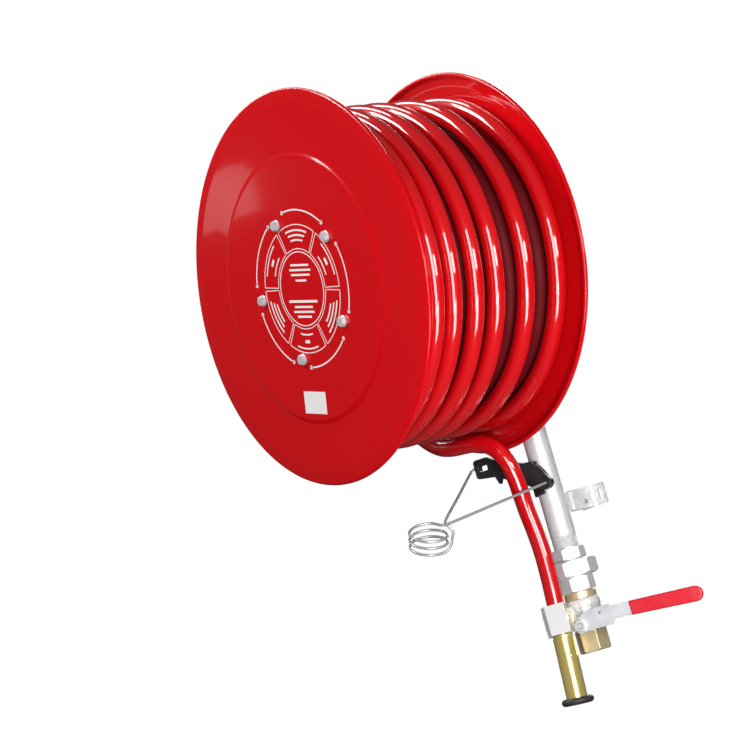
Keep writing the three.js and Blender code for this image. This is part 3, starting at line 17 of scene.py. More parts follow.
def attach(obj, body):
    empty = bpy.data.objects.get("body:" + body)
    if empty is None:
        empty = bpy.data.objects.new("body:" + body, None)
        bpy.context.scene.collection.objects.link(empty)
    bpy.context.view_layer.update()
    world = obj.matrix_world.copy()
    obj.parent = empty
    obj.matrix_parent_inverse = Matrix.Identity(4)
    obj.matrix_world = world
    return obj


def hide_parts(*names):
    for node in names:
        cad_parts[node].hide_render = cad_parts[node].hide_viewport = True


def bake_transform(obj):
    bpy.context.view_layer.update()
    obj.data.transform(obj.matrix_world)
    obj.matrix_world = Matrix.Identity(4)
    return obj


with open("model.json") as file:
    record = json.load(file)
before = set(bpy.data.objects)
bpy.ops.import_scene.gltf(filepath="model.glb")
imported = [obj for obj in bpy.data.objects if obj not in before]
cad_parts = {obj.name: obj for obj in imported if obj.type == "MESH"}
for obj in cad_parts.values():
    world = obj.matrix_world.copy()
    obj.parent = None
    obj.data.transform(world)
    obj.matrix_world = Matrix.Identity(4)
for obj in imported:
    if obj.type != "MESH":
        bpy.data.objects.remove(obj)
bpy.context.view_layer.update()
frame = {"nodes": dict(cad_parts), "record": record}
nodes = frame["nodes"]

# %% [markdown]
# ## Places
# Pieces are drawn in millimetres, each in the frame that suits it: a disc round the drum's axis, a nut up
# the riser, a nozzle along its own leaning axis. One matrix for each frame then takes the finished mesh to
# its real place in metres, so every object sits at the origin with its place in its mesh.

# %% Frames of the reel, in millimetres
WALL_ORIGIN = Vector((11.6, 404.0, -380.5))  # the model's origin, seen from the drum's axis
TO_METRES = Matrix.Scale(0.001, 4) @ Matrix.Translation(-WALL_ORIGIN)


def shifted(x, y, z):
    return Matrix.Translation((x, y, z))


def turned_about(axis, degrees):
    return Matrix.Rotation(math.radians(degrees), 4, axis)


BODY_TOP = -524.7  # top face of the valve body
STEM_Z = BODY_TOP - 38  # height of the lever's stem
DRUM_WIDTH = 278.8  # from rim to rim
RISER_BACK = 326  # the riser's axis, behind the front rim
VALVE_TURN = 38  # degrees by which the lever's side of the valve is turned to the right

AROUND_DRUM = turned_about("X", -90)  # local Z runs from the front disc to the wall
ON_RISER = shifted(0, RISER_BACK, 0)
ON_VALVE = ON_RISER @ turned_about("Z", VALVE_TURN)
ON_STEM = ON_VALVE @ shifted(0, 0, STEM_Z) @ turned_about("X", 90)  # local Z runs out along the stem
ON_GUIDE = ON_RISER @ turned_about("Z", 26.6)
ON_NOZZLE = ON_VALVE @ shifted(-29.3, -46, BODY_TOP - 6) @ turned_about("Y", 3) @ turned_about("X", 180)


def in_metres(point):
    return TO_METRES @ Vector(point)


print("spindle axis passes", [round(v, 4) for v in in_metres((0, 0, 0))])

# %% [markdown]
# ## Camera
# The camera was fitted to the two disc rims and the riser in the photograph. It looks up a little from the
# front right, and it is rolled, which is why the riser leans in the picture.

# %% Camera at the photograph's viewing angle
CAMERA_AZIMUTH = 53.837
CAMERA_ELEVATION = -7.385
CAMERA_ROLL = 15.669
CAMERA_DISTANCE = 3522.97
CAMERA_LENS = 122.21
CAMERA_TARGET = Vector((101.23, 0, -157.11))

azimuth = math.radians(CAMERA_AZIMUTH)
elevation = math.radians(CAMERA_ELEVATION)
roll = math.radians(CAMERA_ROLL)
camera_back = Vector((
    math.sin(azimuth) * math.cos(elevation),
    -math.cos(azimuth) * math.cos(elevation),
    math.sin(elevation),
))
level_right = Vector((math.cos(azimuth), math.sin(azimuth), 0))
level_up = camera_back.cross(level_right)
camera_right = math.cos(roll) * level_right - math.sin(roll) * level_up
camera_up = math.sin(roll) * level_right + math.cos(roll) * level_up

camera_data = bpy.data.cameras.new("camera")
camera_data.sensor_width = 36
camera_data.lens = CAMERA_LENS
camera = bpy.data.objects.new("camera", camera_data)
bpy.context.scene.collection.objects.link(camera)
camera_place = Matrix((camera_right, camera_up, camera_back)).transposed().to_4x4()
camera_place.translation = in_metres(CAMERA_TARGET + CAMERA_DISTANCE * camera_back)
camera.matrix_world = camera_place
bpy.context.scene.camera = camera
print("camera stands at", [round(v, 3) for v in camera.matrix_world.translation])

# %% [markdown]
# ## Surface patterns shared by several finishes
# Real finishes are never even. One node group mixes two sizes of noise, and gives a mottled colour, a
# roughness that wanders, and a fine bump. Each material places it with its own values.
# A second group is the spangle of hot-dip galvanising: flat crystals a few millimetres wide.


# %% Node groups
MIX_A, MIX_B, MIX_RESULT = 6, 7, 2  # colour sockets of a Mix node
BUMP_DISTANCE = 0.0002


def new_group(name, inputs, outputs):
    group = bpy.data.node_groups.new(name, "ShaderNodeTree")
    for label, kind, value in inputs:
        socket = group.interface.new_socket(label, in_out="INPUT", socket_type=kind)
        socket.default_value = value
    for label, kind in outputs:
        group.interface.new_socket(label, in_out="OUTPUT", socket_type=kind)
    return group, group.nodes.new("NodeGroupInput"), group.nodes.new("NodeGroupOutput")


def object_noise(group, scale, detail=3.0):
    """A noise texture on Object coordinates; scale is a number or a socket."""
    place = group.nodes.new("ShaderNodeTexCoord")
    noise = group.nodes.new("ShaderNodeTexNoise")
    noise.inputs["Detail"].default_value = detail
    group.links.new(place.outputs["Object"], noise.inputs["Vector"])
    if isinstance(scale, (int, float)):
        noise.inputs["Scale"].default_value = scale
    else:
        group.links.new(scale, noise.inputs["Scale"])
    return noise


def make_uneven_group():
    group, start, end = new_group(
        "uneven_surface",
        [
            ("Light Colour", "NodeSocketColor", (1, 1, 1, 1)),
            ("Dark Colour", "NodeSocketColor", (0.5, 0.5, 0.5, 1)),
            ("Patch Scale", "NodeSocketFloat", 12.0),
            ("Grain Scale", "NodeSocketFloat", 600.0),
            ("Smooth", "NodeSocketFloat", 0.3),
            ("Rough", "NodeSocketFloat", 0.5),
            ("Grain Depth", "NodeSocketFloat", 0.1),
        ],
        [("Colour", "NodeSocketColor"), ("Roughness", "NodeSocketFloat"), ("Normal", "NodeSocketVector")],
    )
    link = group.links.new
    patches = object_noise(group, start.outputs["Patch Scale"])
    grain = object_noise(group, start.outputs["Grain Scale"], 2.0)
    colour = group.nodes.new("ShaderNodeMix")
    colour.data_type = "RGBA"
    link(patches.outputs["Fac"], colour.inputs["Factor"])
    link(start.outputs["Light Colour"], colour.inputs[MIX_A])
    link(start.outputs["Dark Colour"], colour.inputs[MIX_B])
    rough = group.nodes.new("ShaderNodeMapRange")
    link(patches.outputs["Fac"], rough.inputs["Value"])
    rough.inputs["From Min"].default_value = 0.3
    rough.inputs["From Max"].default_value = 0.7
    link(start.outputs["Smooth"], rough.inputs["To Min"])
    link(start.outputs["Rough"], rough.inputs["To Max"])
    bump = group.nodes.new("ShaderNodeBump")
    bump.inputs["Distance"].default_value = BUMP_DISTANCE
    link(start.outputs["Grain Depth"], bump.inputs["Strength"])
    link(grain.outputs["Fac"], bump.inputs["Height"])
    link(colour.outputs[MIX_RESULT], end.inputs["Colour"])
    link(rough.outputs["Result"], end.inputs["Roughness"])
    link(bump.outputs["Normal"], end.inputs["Normal"])
    return group


def make_spangle_group():
    group, start, end = new_group(
        "zinc_spangle",
        [
            ("Crystal Scale", "NodeSocketFloat", 220.0),
            ("Light Colour", "NodeSocketColor", (0.80, 0.81, 0.83, 1)),
            ("Dark Colour", "NodeSocketColor", (0.70, 0.71, 0.73, 1)),
        ],
        [("Colour", "NodeSocketColor"), ("Roughness", "NodeSocketFloat"), ("Normal", "NodeSocketVector")],
    )
    link = group.links.new
    place = group.nodes.new("ShaderNodeTexCoord")
    crystals = group.nodes.new("ShaderNodeTexVoronoi")
    link(place.outputs["Object"], crystals.inputs["Vector"])
    link(start.outputs["Crystal Scale"], crystals.inputs["Scale"])
    shade = group.nodes.new("ShaderNodeSeparateColor")
    link(crystals.outputs["Color"], shade.inputs["Color"])
    colour = group.nodes.new("ShaderNodeMix")
    colour.data_type = "RGBA"
    link(shade.outputs["Red"], colour.inputs["Factor"])
    link(start.outputs["Light Colour"], colour.inputs[MIX_A])
    link(start.outputs["Dark Colour"], colour.inputs[MIX_B])
    rough = group.nodes.new("ShaderNodeMapRange")
    link(shade.outputs["Green"], rough.inputs["Value"])
    rough.inputs["To Min"].default_value = 0.32
    rough.inputs["To Max"].default_value = 0.5
    fine = object_noise(group, 900.0, 2.0)
    bump = group.nodes.new("ShaderNodeBump")
    bump.inputs["Distance"].default_value = BUMP_DISTANCE
    bump.inputs["Strength"].default_value = 0.12
    link(fine.outputs["Fac"], bump.inputs["Height"])
    link(colour.outputs[MIX_RESULT], end.inputs["Colour"])
    link(rough.outputs["Result"], end.inputs["Roughness"])
    link(bump.outputs["Normal"], end.inputs["Normal"])
    return group


uneven_surface = make_uneven_group()
zinc_spangle = make_spangle_group()
print("node groups:", [g.name for g in bpy.data.node_groups])

# %% [markdown]
# ## Finishes
# The discs are stove-enamelled sheet: red under a clear gloss, with the faint orange peel of sprayed paint.
# The hose is smooth extruded rubber, glossy enough to hold long streaks of light. The riser, union and
# brackets are galvanised, the valve is plated, and the nozzle and inlet are turned brass.


# %% Materials
def finish_of(name, group, values, metallic=0.0, coat=0.0, coat_roughness=0.1, coat_ior=1.5, specular=0.5):
    material = bpy.data.materials.new(name)
    material.use_nodes = True
    tree = material.node_tree
    shader = tree.nodes["Principled BSDF"]
    pattern = tree.nodes.new("ShaderNodeGroup")
    pattern.node_tree = group
    for label, value in values.items():
        pattern.inputs[label].default_value = value
    tree.links.new(pattern.outputs["Colour"], shader.inputs["Base Color"])
    tree.links.new(pattern.outputs["Roughness"], shader.inputs["Roughness"])
    tree.links.new(pattern.outputs["Normal"], shader.inputs["Normal"])
    shader.inputs["Metallic"].default_value = metallic
    shader.inputs["Coat Weight"].default_value = coat
    shader.inputs["Coat Roughness"].default_value = coat_roughness
    shader.inputs["Coat IOR"].default_value = coat_ior
    shader.inputs["Specular IOR Level"].default_value = specular
    return material


def uneven(name, light, dark, smooth, rough, patch=12.0, grain=600.0, depth=0.1, **more):
    values = {
        "Light Colour": (*light, 1),
        "Dark Colour": (*dark, 1),
        "Patch Scale": patch,
        "Grain Scale": grain,
        "Smooth": smooth,
        "Rough": rough,
        "Grain Depth": depth,
    }
    return finish_of(name, uneven_surface, values, **more)


red_enamel = uneven(
    "red_enamel", (0.64, 0.0030, 0.0065), (0.59, 0.0026, 0.0058), 0.16, 0.22, 5, 260, 0.02,
    coat=0.5, coat_roughness=0.06, specular=0.1,
)
red_hose_rubber = uneven(
    "red_hose_rubber", (0.64, 0.0030, 0.0065), (0.58, 0.0026, 0.0058), 0.24, 0.32, 30, 420, 0.02,
    coat=1.0, coat_roughness=0.07, coat_ior=1.85, specular=0.1,
)
# painted shade: the lower layer's rubber is a near-black red that stands for the shadow between the wide
# turns
painted_shade_rubber = uneven(
    "painted_shade_hose_rubber", (0.13, 0.004, 0.007), (0.08, 0.003, 0.005), 0.5, 0.65, 30, 420, 0.05, specular=0.1,
)
galvanised = finish_of("galvanised_steel", zinc_spangle, {}, metallic=0.35)
plated = uneven(
    "plated_brass", (0.88, 0.88, 0.88), (0.80, 0.81, 0.82), 0.14, 0.26, 40, 700, 0.03, metallic=0.25,
)
zinc_plate = uneven(
    "zinc_plated_steel", (0.80, 0.81, 0.83), (0.68, 0.69, 0.72), 0.24, 0.38, 60, 800, 0.06, metallic=0.45,
)
brass = uneven(
    "turned_brass", (0.95, 0.78, 0.27), (0.86, 0.68, 0.20), 0.14, 0.26, 45, 900, 0.05, metallic=0.7,
)
dull_brass = uneven(
    "cast_brass", (0.80, 0.66, 0.40), (0.64, 0.51, 0.29), 0.28, 0.42, 60, 700, 0.12, metallic=0.6,
)
black_nylon = uneven(
    "black_nylon", (0.022, 0.022, 0.025), (0.012, 0.012, 0.014), 0.30, 0.45, 40, 900, 0.12,
)
black_rubber = uneven(
    "black_rubber", (0.030, 0.029, 0.031), (0.016, 0.016, 0.018), 0.45, 0.65, 50, 900, 0.2,
)
red_vinyl = uneven(
    "red_dipped_vinyl", (0.66, 0.012, 0.030), (0.58, 0.010, 0.024), 0.22, 0.34, 50, 500, 0.05, coat=0.25,
)
white_nylon = uneven(
    "white_nylon", (0.80, 0.79, 0.75), (0.72, 0.71, 0.67), 0.4, 0.5, 60, 900, 0.1,
)
white_print = uneven(
    "white_print", (0.95, 0.92, 0.92), (0.88, 0.82, 0.82), 0.35, 0.45, 200, 900, 0.03,
)
steel_wire = uneven(
    "bright_wire", (0.58, 0.59, 0.62), (0.44, 0.45, 0.48), 0.22, 0.36, 90, 900, 0.05, metallic=0.5,
)

finish_by_slot = {
    "red_paint": red_enamel,
    "red_rubber": red_hose_rubber,
    "galvanised": galvanised,
    "chrome": plated,
    "brass": dull_brass,
    "steel": zinc_plate,
    "black_plastic": black_nylon,
    "black_rubber": black_rubber,
    "red_vinyl": red_vinyl,
    "white_plastic": white_nylon,
}
for entry in frame["record"]["subparts"]:
    shown = nodes[entry["node"]]
    material = finish_by_slot[entry["material_slot"]]
    if not shown.data.materials:
        shown.data.materials.append(material)
    for place in shown.material_slots:
        place.material = material
print("finishes:", len(bpy.data.materials))

# %% [markdown]
# ## Tools for making pieces
# Nearly everything on the reel is turned, hexagonal, cut or bent from sheet, or a round tube along a line.
# One helper draws each kind. Sharp edges are then softened, because an edge that catches no light looks
# false, and weighted normals keep the flat faces flat beside the small bevels.


# %% Finishing a piece
BEVEL_ANGLE = math.radians(32)  # edges sharper than this are bevelled
SHADING_ANGLE = math.radians(40)  # edges sharper than this are shaded sharp


def piece_from(bm, name, material, where, sharp_bevel=0.0, segments=2):
    bmesh.ops.remove_doubles(bm, verts=bm.verts[:], dist=1e-4)
    bmesh.ops.recalc_face_normals(bm, faces=bm.faces[:])
    if sharp_bevel:
        sharp = [e for e in bm.edges if len(e.link_faces) == 2 and e.calc_face_angle(0) > BEVEL_ANGLE]
        bmesh.ops.bevel(
            bm, geom=sharp, offset=sharp_bevel, segments=segments, profile=0.5,
            affect="EDGES", material=-1, clamp_overlap=True,
        )
    bm.transform(TO_METRES @ where)
    mesh = bpy.data.meshes.new(name)
    bm.to_mesh(mesh)
    bm.free()
    return object_from(mesh, name, material)


def object_from(mesh, name, material):
    mesh.materials.clear()
    mesh.materials.append(material)
    for face in mesh.polygons:
        face.use_smooth = True
    mesh.set_sharp_from_angle(angle=SHADING_ANGLE)
    piece = bpy.data.objects.new(name, mesh)
    bpy.context.scene.collection.objects.link(piece)
    weighted = piece.modifiers.new("flat faces stay flat", "WEIGHTED_NORMAL")
    weighted.keep_sharp = True
    return piece


def stands_for(piece, body, *replaced):
    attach(piece, body)
    if replaced:
        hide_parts(*replaced)
    return piece


# %% Turned pieces
def turn_profile(bm, profile, steps=64):
    """Spins an outline of (radius, height) corners round Z. It closes on itself or ends on the axis."""
    corners = [bm.verts.new((radius, 0, height)) for radius, height in profile]
    pairs = list(zip(corners, corners[1:]))
    if profile[0][0] > 0 or profile[-1][0] > 0:
        pairs.append((corners[-1], corners[0]))
    edges = [bm.edges.new(pair) for pair in pairs]
    bmesh.ops.spin(
        bm, geom=corners + edges, cent=(0, 0, 0), axis=(0, 0, 1), angle=2 * math.pi, steps=steps,
        use_merge=True, use_duplicate=False,
    )


def turned(name, profile, where, material, soften=0.4, steps=64):
    bm = bmesh.new()
    turn_profile(bm, profile, steps)
    return piece_from(bm, name, material, where, soften)


# %% Hexagonal pieces
CORNER_START, CORNER_SLOPE = 0.985, 0.6  # where the turned-off corners begin, and how steeply they fall
END_FACE = 0.965  # radius of the flat round end face; both are shares of the distance to a flat


def add_hexagon(bm, corner, low, high, bore=0.0, around=72):
    """A hexagon bar with its corners turned off at both ends, as on a machined nut."""
    flats = corner * math.cos(math.pi / 6)
    made = bmesh.ops.create_cone(
        bm, cap_ends=True, segments=around, radius1=corner, radius2=corner, depth=high - low,
    )
    bar = made["verts"]
    for v in bar:
        angle = math.atan2(v.co.y, v.co.x) % (math.pi / 3) - math.pi / 6
        radius = flats / math.cos(angle)
        turned_off = max(0.0, radius - flats * CORNER_START) * CORNER_SLOPE
        end = 1 if v.co.z > 0 else -1
        v.co.xy = v.co.xy.normalized() * radius
        v.co.z = end * ((high - low) / 2 - turned_off) + (low + high) / 2
    caps = [f for f in bm.faces if len(f.verts) == around]
    for cap in caps:
        bmesh.ops.inset_region(bm, faces=[cap], thickness=0.5, use_even_offset=True)
        end = high if cap.calc_center_median().z > (low + high) / 2 else low
        for v in cap.verts:
            v.co.xy = v.co.xy.normalized() * flats * END_FACE
            v.co.z = end
    if bore:
        rims = []
        for cap in caps:
            bmesh.ops.inset_region(bm, faces=[cap], thickness=0.5, use_even_offset=True)
            for v in cap.verts:
                v.co.xy = v.co.xy.normalized() * bore
            rims.extend(cap.edges)
        bmesh.ops.delete(bm, geom=caps, context="FACES_ONLY")
        bmesh.ops.bridge_loops(bm, edges=rims)


# %% Flat pieces
def plate_mesh(name, loops, thickness, rounding, where):
    """A flat plate from closed outlines, the first the edge and the others holes, softened all round."""
    curve = bpy.data.curves.new(name, "CURVE")
    curve.dimensions = "2D"
    curve.fill_mode = "BOTH"
    curve.extrude = thickness / 2 - rounding
    curve.bevel_depth = rounding
    curve.bevel_resolution = 2
    curve.offset = -rounding
    for loop in loops:
        line = curve.splines.new("POLY")
        line.points.add(len(loop) - 1)
        for point, (x, y) in zip(line.points, loop):
            point.co = (x, y, 0, 1)
        line.use_cyclic_u = True
    drawn = bpy.data.objects.new(name, curve)
    bpy.context.scene.collection.objects.link(drawn)
    bpy.context.view_layer.update()
    seen = drawn.evaluated_get(bpy.context.evaluated_depsgraph_get())
    mesh = bpy.data.meshes.new_from_object(seen)
    bpy.data.objects.remove(drawn)
    bpy.data.curves.remove(curve)
    mesh.transform(where)
    return mesh


def add_plate(bm, loops, thickness, rounding, where):
    mesh = plate_mesh("plate", loops, thickness, rounding, where)
    bm.from_mesh(mesh)
    bpy.data.meshes.remove(mesh)


def arc(cx, cy, radius, start, end, steps=8):
    """Corners along an arc, between two angles in degrees."""
    angles = [math.radians(start + (end - start) * k / steps) for k in range(steps + 1)]
    return [(cx + radius * math.cos(a), cy + radius * math.sin(a)) for a in angles]


# %% Bent sheet
def add_bent_sheet(bm, corners, low, high, thickness, bend_radius):
    """Sheet standing on a line of corners, its bends rounded, then given its thickness both ways."""
    line = [bm.verts.new((x, y, low)) for x, y in corners]
    edges = [bm.edges.new(pair) for pair in zip(line, line[1:])]
    raised = bmesh.ops.extrude_edge_only(bm, edges=edges)["geom"]
    top = [v for v in raised if isinstance(v, bmesh.types.BMVert)]
    bmesh.ops.translate(bm, verts=top, vec=(0, 0, high - low))
    bends = [e for e in bm.edges if len(e.link_faces) == 2]
    bmesh.ops.bevel(
        bm, geom=bends, offset=bend_radius, segments=6, profile=0.5, affect="EDGES", material=-1,
    )
    bmesh.ops.recalc_face_normals(bm, faces=bm.faces[:])
    for v in bm.verts:
        v.normal_update()
    for v in bm.verts:
        v.co -= v.normal * thickness / 2
    bmesh.ops.solidify(bm, geom=bm.faces[:], thickness=thickness)


# %% Round tubes along a line
def smooth_line(points, spacing):
    """The smooth curve through the points, as evenly spaced points: a uniform Catmull-Rom curve."""
    line = [Vector(p) for p in points]
    line = [2 * line[0] - line[1], *line, 2 * line[-1] - line[-2]]
    fine = []
    for a, b, c, d in zip(line, line[1:], line[2:], line[3:]):
        parts = max(2, math.ceil((c - b).length / spacing))
        for k in range(parts):
            t = k / parts
            fine.append(0.5 * (
                2 * b + (c - a) * t + (2 * a - 5 * b + 4 * c - d) * t**2 + (3 * b - a - 3 * c + d) * t**3
            ))
    fine.append(line[-2])
    return fine


def tube_mesh(name, line, radius, resolution=6):
    """A closed round tube along a fine line in millimetres, as a mesh in metres."""
    curve = bpy.data.curves.new(name, "CURVE")
    curve.dimensions = "3D"
    curve.bevel_depth = radius * 0.001
    curve.bevel_resolution = resolution
    curve.use_fill_caps = True
    spline = curve.splines.new("POLY")
    spline.points.add(len(line) - 1)
    for point, place in zip(spline.points, line):
        point.co = (*in_metres(place), 1)
    drawn = bpy.data.objects.new(name, curve)
    bpy.context.scene.collection.objects.link(drawn)
    bpy.context.view_layer.update()
    seen = drawn.evaluated_get(bpy.context.evaluated_depsgraph_get())
    mesh = bpy.data.meshes.new_from_object(seen)
    bpy.data.objects.remove(drawn)
    bpy.data.curves.remove(curve)
    bm = bmesh.new()
    bm.from_mesh(mesh)
    bmesh.ops.remove_doubles(bm, verts=bm.verts[:], dist=1e-6)
    bmesh.ops.recalc_face_normals(bm, faces=bm.faces[:])
    bm.to_mesh(mesh)
    bm.free()
    return mesh


# %% [markdown]
# ## The hose: its tail first
# The hose is 26 mm thick outside, stiff rubber. Its tail leaves the last turn under the drum, swings back,
# drops through the wire guide, and runs down into the ferrule above the nozzle. It is one curve through the
# model's own points. It is made as two lengths that meet in the guide, which swings with the hose in it.

# %% Winding path
HOSE_RADIUS = 13.0
WIND_RADIUS = 238.0
TURNS_Y = [16.5, 45, 76, 115, 152, 206, 263]
WIND_START, WIND_END = -110.0, 229.5
TURN_CHANGE = -100.0  # the angle where one turn's number ends and the next begins
RAMP_START, RAMP_END = 100.0, 260.0
LIFT_START, LIFT_END = 118.0, 180.0
LIFT_RADIUS = 265.0
WIND_END_Y = 235.0


def share(value, low, high):
    return min(max((value - low) / (high - low), 0.0), 1.0)


def ease(u):
    return u * u * (3 - 2 * u)


def winding_point(angle):
    """Centre of the outer layer at a turning angle that runs on from turn to turn."""
    last = len(TURNS_Y) - 1
    turn = min(max(math.floor((angle - TURN_CHANGE) / 360), 0), last)
    local = angle - 360 * turn
    y, radius = TURNS_Y[turn], WIND_RADIUS
    if turn < last:
        y += (TURNS_Y[turn + 1] - y) * ease(share(local, RAMP_START, RAMP_END))
    else:
        y += (WIND_END_Y - y) * ease(share(local, RAMP_START, WIND_END))
        radius += (LIFT_RADIUS - radius) * ease(share(local, LIFT_START, LIFT_END))
    a = math.radians(angle)
    return Vector((radius * math.cos(a), y, radius * math.sin(a)))


wind_last = 360 * (len(TURNS_Y) - 1) + WIND_END
wind_steps = 640
winding = [
    winding_point(WIND_START + (wind_last - WIND_START) * k / wind_steps) for k in range(wind_steps + 1)
]
straight = 2 * HOSE_RADIUS
out = (winding_point(wind_last) - winding_point(wind_last - 1)).normalized()
winding.append(winding[-1] + out * straight)
print("outer layer turns:", round((wind_last - WIND_START) / 360, 2))

# %% Tail of the hose
TAIL_POINTS = [
    (-110, 234.3, -249.3), (-82.3, 233.8, -257), (-38.2, 237.8, -262.3), (-15.7, 243.4, -269.1),
    (-0.7, 248.7, -281.2), (7.9, 253, -296.8), (10.7, 257.5, -314.1), (9.5, 262.1, -332.5),
    (7.2, 265.7, -356.3), (6.4, 268.4, -382.5), (7.2, 271.9, -415.9), (8, 273.3, -448.2),
]
tail_start = winding[-1] + out * 0.3
tail_ends = [ON_NOZZLE @ Vector((0, 0, u)) for u in (-46, -20, 6)]
tail = smooth_line([tail_start, tail_start + out * straight, *TAIL_POINTS, *tail_ends], 7)
parting = min(range(len(tail)), key=lambda k: (tail[k] - Vector(TAIL_POINTS[7])).length)


def run_of(line):
    return sum((b - a).length for a, b in zip(line, line[1:])) * 0.001


def hose_length(name, line, start_body, end_body, bend_from, bend_to, **facts):
    piece = object_from(tube_mesh(name, line, HOSE_RADIUS, 8), name, red_hose_rubber)
    piece.modifiers.clear()
    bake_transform(piece)
    print(name, "is", round(run_of(line), 3), "m long")
    return piece


hose_length(
    "hose_tail_lower", tail[parting:], "hose_guide", "frame", (8, 266, -345), (7, 272, -440),
    far_end="object",
)
upper_tail = hose_length(
    "hose_tail_upper", tail[: parting + 1], "frame", "hose_guide", (-25, 241, -266), (10, 261, -327),
    far_end="object",
)
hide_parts("hose_tail")

# %% [markdown]
# ## The hose on the drum
# The hose is wound in layers, each from one disc to the other. The lower layer runs forwards from the rear
# disc, and there it climbs out and turns back as the outer layer. Its turns lie close together in front and
# further apart behind, and the last one swings out on its way down to the guide. Between the wide turns the
# lower layer shows in shadow, so it is wound too, in a duller rubber whose colour is darkened with painted
# shade to stand for that shadow.

# %% Outer and inner layers
INNER_RADIUS = WIND_RADIUS - 2 * HOSE_RADIUS - 1
INNER_TURNS = 9
INNER_FIRST_Y = DRUM_WIDTH - 15.5
CLIMB, CLIMB_STEPS = 40, 16  # degrees over which the hose climbs from the inner layer to the outer
inner_end = WIND_START - CLIMB


def inner_point(part):
    """A point of the lower layer; part runs from 0 at the rear disc to 1 at the front one."""
    a = math.radians(inner_end - 360 * INNER_TURNS * (1 - part))
    y = INNER_FIRST_Y + (TURNS_Y[0] - INNER_FIRST_Y) * part
    return Vector((INNER_RADIUS * math.cos(a), y, INNER_RADIUS * math.sin(a)))


climb = []
for k in range(CLIMB_STEPS):
    a = math.radians(inner_end + CLIMB * k / CLIMB_STEPS)
    radius = INNER_RADIUS + (WIND_RADIUS - INNER_RADIUS) * ease(k / CLIMB_STEPS)
    climb.append(Vector((radius * math.cos(a), TURNS_Y[0], radius * math.sin(a))))
outer_layer = object_from(
    tube_mesh("hose_outer_layer", climb + winding, HOSE_RADIUS, 8), "hose_outer_layer", red_hose_rubber,
)
outer_layer.modifiers.clear()
stands_for(outer_layer, "drum", "hose_winding")

inner_steps = INNER_TURNS * 72
inner_line = [inner_point(k / inner_steps) for k in range(inner_steps + 1)]
# painted shade: the lower layer gets the darkened rubber in place of the shadow between the turns
inner_layer = object_from(
    tube_mesh("hose_inner_layer", inner_line, HOSE_RADIUS, 5), "hose_inner_layer", painted_shade_rubber,
)
inner_layer.modifiers.clear()
stands_for(inner_layer, "drum", "hose_core")
print("inner layer pitch:", round((INNER_FIRST_Y - TURNS_Y[0]) / INNER_TURNS, 1), "mm")

# %% [markdown]
# ## Discs
# Each disc is pressed from 1.5 mm sheet. A step runs round the flat middle, a shallow cone falls away to a
# lip, and the edge is rolled into a bead, which is what catches the light all round the drum.


# %% Front and rear disc
def disc_profile(hole):
    outside = [
        (hole, 9.0), (60.0, 9.0), (120.0, 9.0), (187.5, 9.0), (189.5, 8.8), (192.0, 7.95), (194.5, 7.1),
        (196.5, 6.8), (220.0, 6.35), (243.0, 5.95), (263.0, 5.6), (266.0, 5.4), (274.0, 4.4),
    ]
    bead = arc(281.35, 0, 3.5, 90, -170, 13)
    inside = [
        (276.4, 2.6), (266.0, 3.9), (263.0, 4.1), (243.0, 4.45), (196.0, 5.3), (192.0, 6.4),
        (188.5, 7.5), (120.0, 7.5), (hole, 7.5),
    ]
    return outside + bead + inside


def pressed_disc(name, hole, where):
    bm = bmesh.new()
    turn_profile(bm, disc_profile(hole), 144)
    return piece_from(bm, name, red_enamel, where)


front_disc = pressed_disc("front_disc_pressed", 0.0, turned_about("X", 90))
stands_for(front_disc, "drum", "front_disc")
rear_disc = pressed_disc("rear_disc_pressed", 24.9, shifted(0, DRUM_WIDTH, 0) @ AROUND_DRUM)
stands_for(rear_disc, "drum", "rear_disc")
print("disc faces:", len(front_disc.data.polygons), len(rear_disc.data.polygons))

# %% [markdown]
# ## Disc bolts
# Five flanged hexagon bolts hold each disc to the flange behind it. Each one is tightened to an angle of
# its own.

# %% Bolts
BOLT_CIRCLE = 102.8
BOLT_SEAT = 9.3  # from the rim's plane out to the bolt's flange
bolt_angles = [101.1 - 72 * k for k in range(5)]


def disc_bolt(name, angle, side):
    bm = bmesh.new()
    add_hexagon(bm, 7.5, 1.2, 6.2, around=36)
    turn_profile(bm, [(0, 6.35), (5.2, 6.35), (5.2, 1.0), (0, 1.0)], 24)
    turn_profile(bm, [(0, 1.4), (6.9, 1.4), (8.4, 0.7), (8.4, 0.0), (4.0, 0.0), (4.0, -9.0), (0, -9.0)], 32)
    a = math.radians(angle)
    x, z = BOLT_CIRCLE * math.cos(a), BOLT_CIRCLE * math.sin(a)
    if side == "front":
        where = shifted(x, -BOLT_SEAT, z) @ turned_about("X", 90) @ turned_about("Z", angle * 2.3)
    else:
        where = shifted(x, DRUM_WIDTH + BOLT_SEAT, z) @ AROUND_DRUM @ turned_about("Z", angle * 1.7)
    return piece_from(bm, name, zinc_plate, where, 0.25)


for k, angle in enumerate(bolt_angles, 1):
    for side in ("front", "rear"):
        stands_for(disc_bolt(f"{side}_disc_bolt_{k}", angle, side), "drum", f"{side}_bolt_{k}")
print("bolts at", bolt_angles)

# %% [markdown]
# ## Print on the front disc
# A printed ring runs round the middle of the disc, in plain shapes: six outlined fields, an inner circle,
# rows of bars, and five arcs between the bolts. It is built as real film a tenth of a millimetre thick, so
# that it lies on the paint. A blank sticker lies below it.

# %% Printed ring and sticker
PRINT_TILT = -16.0
PRINT_FILM, STICKER_FILM = 0.12, 0.2
PRINT_FACE = -9.0 - 0.03  # just off the paint


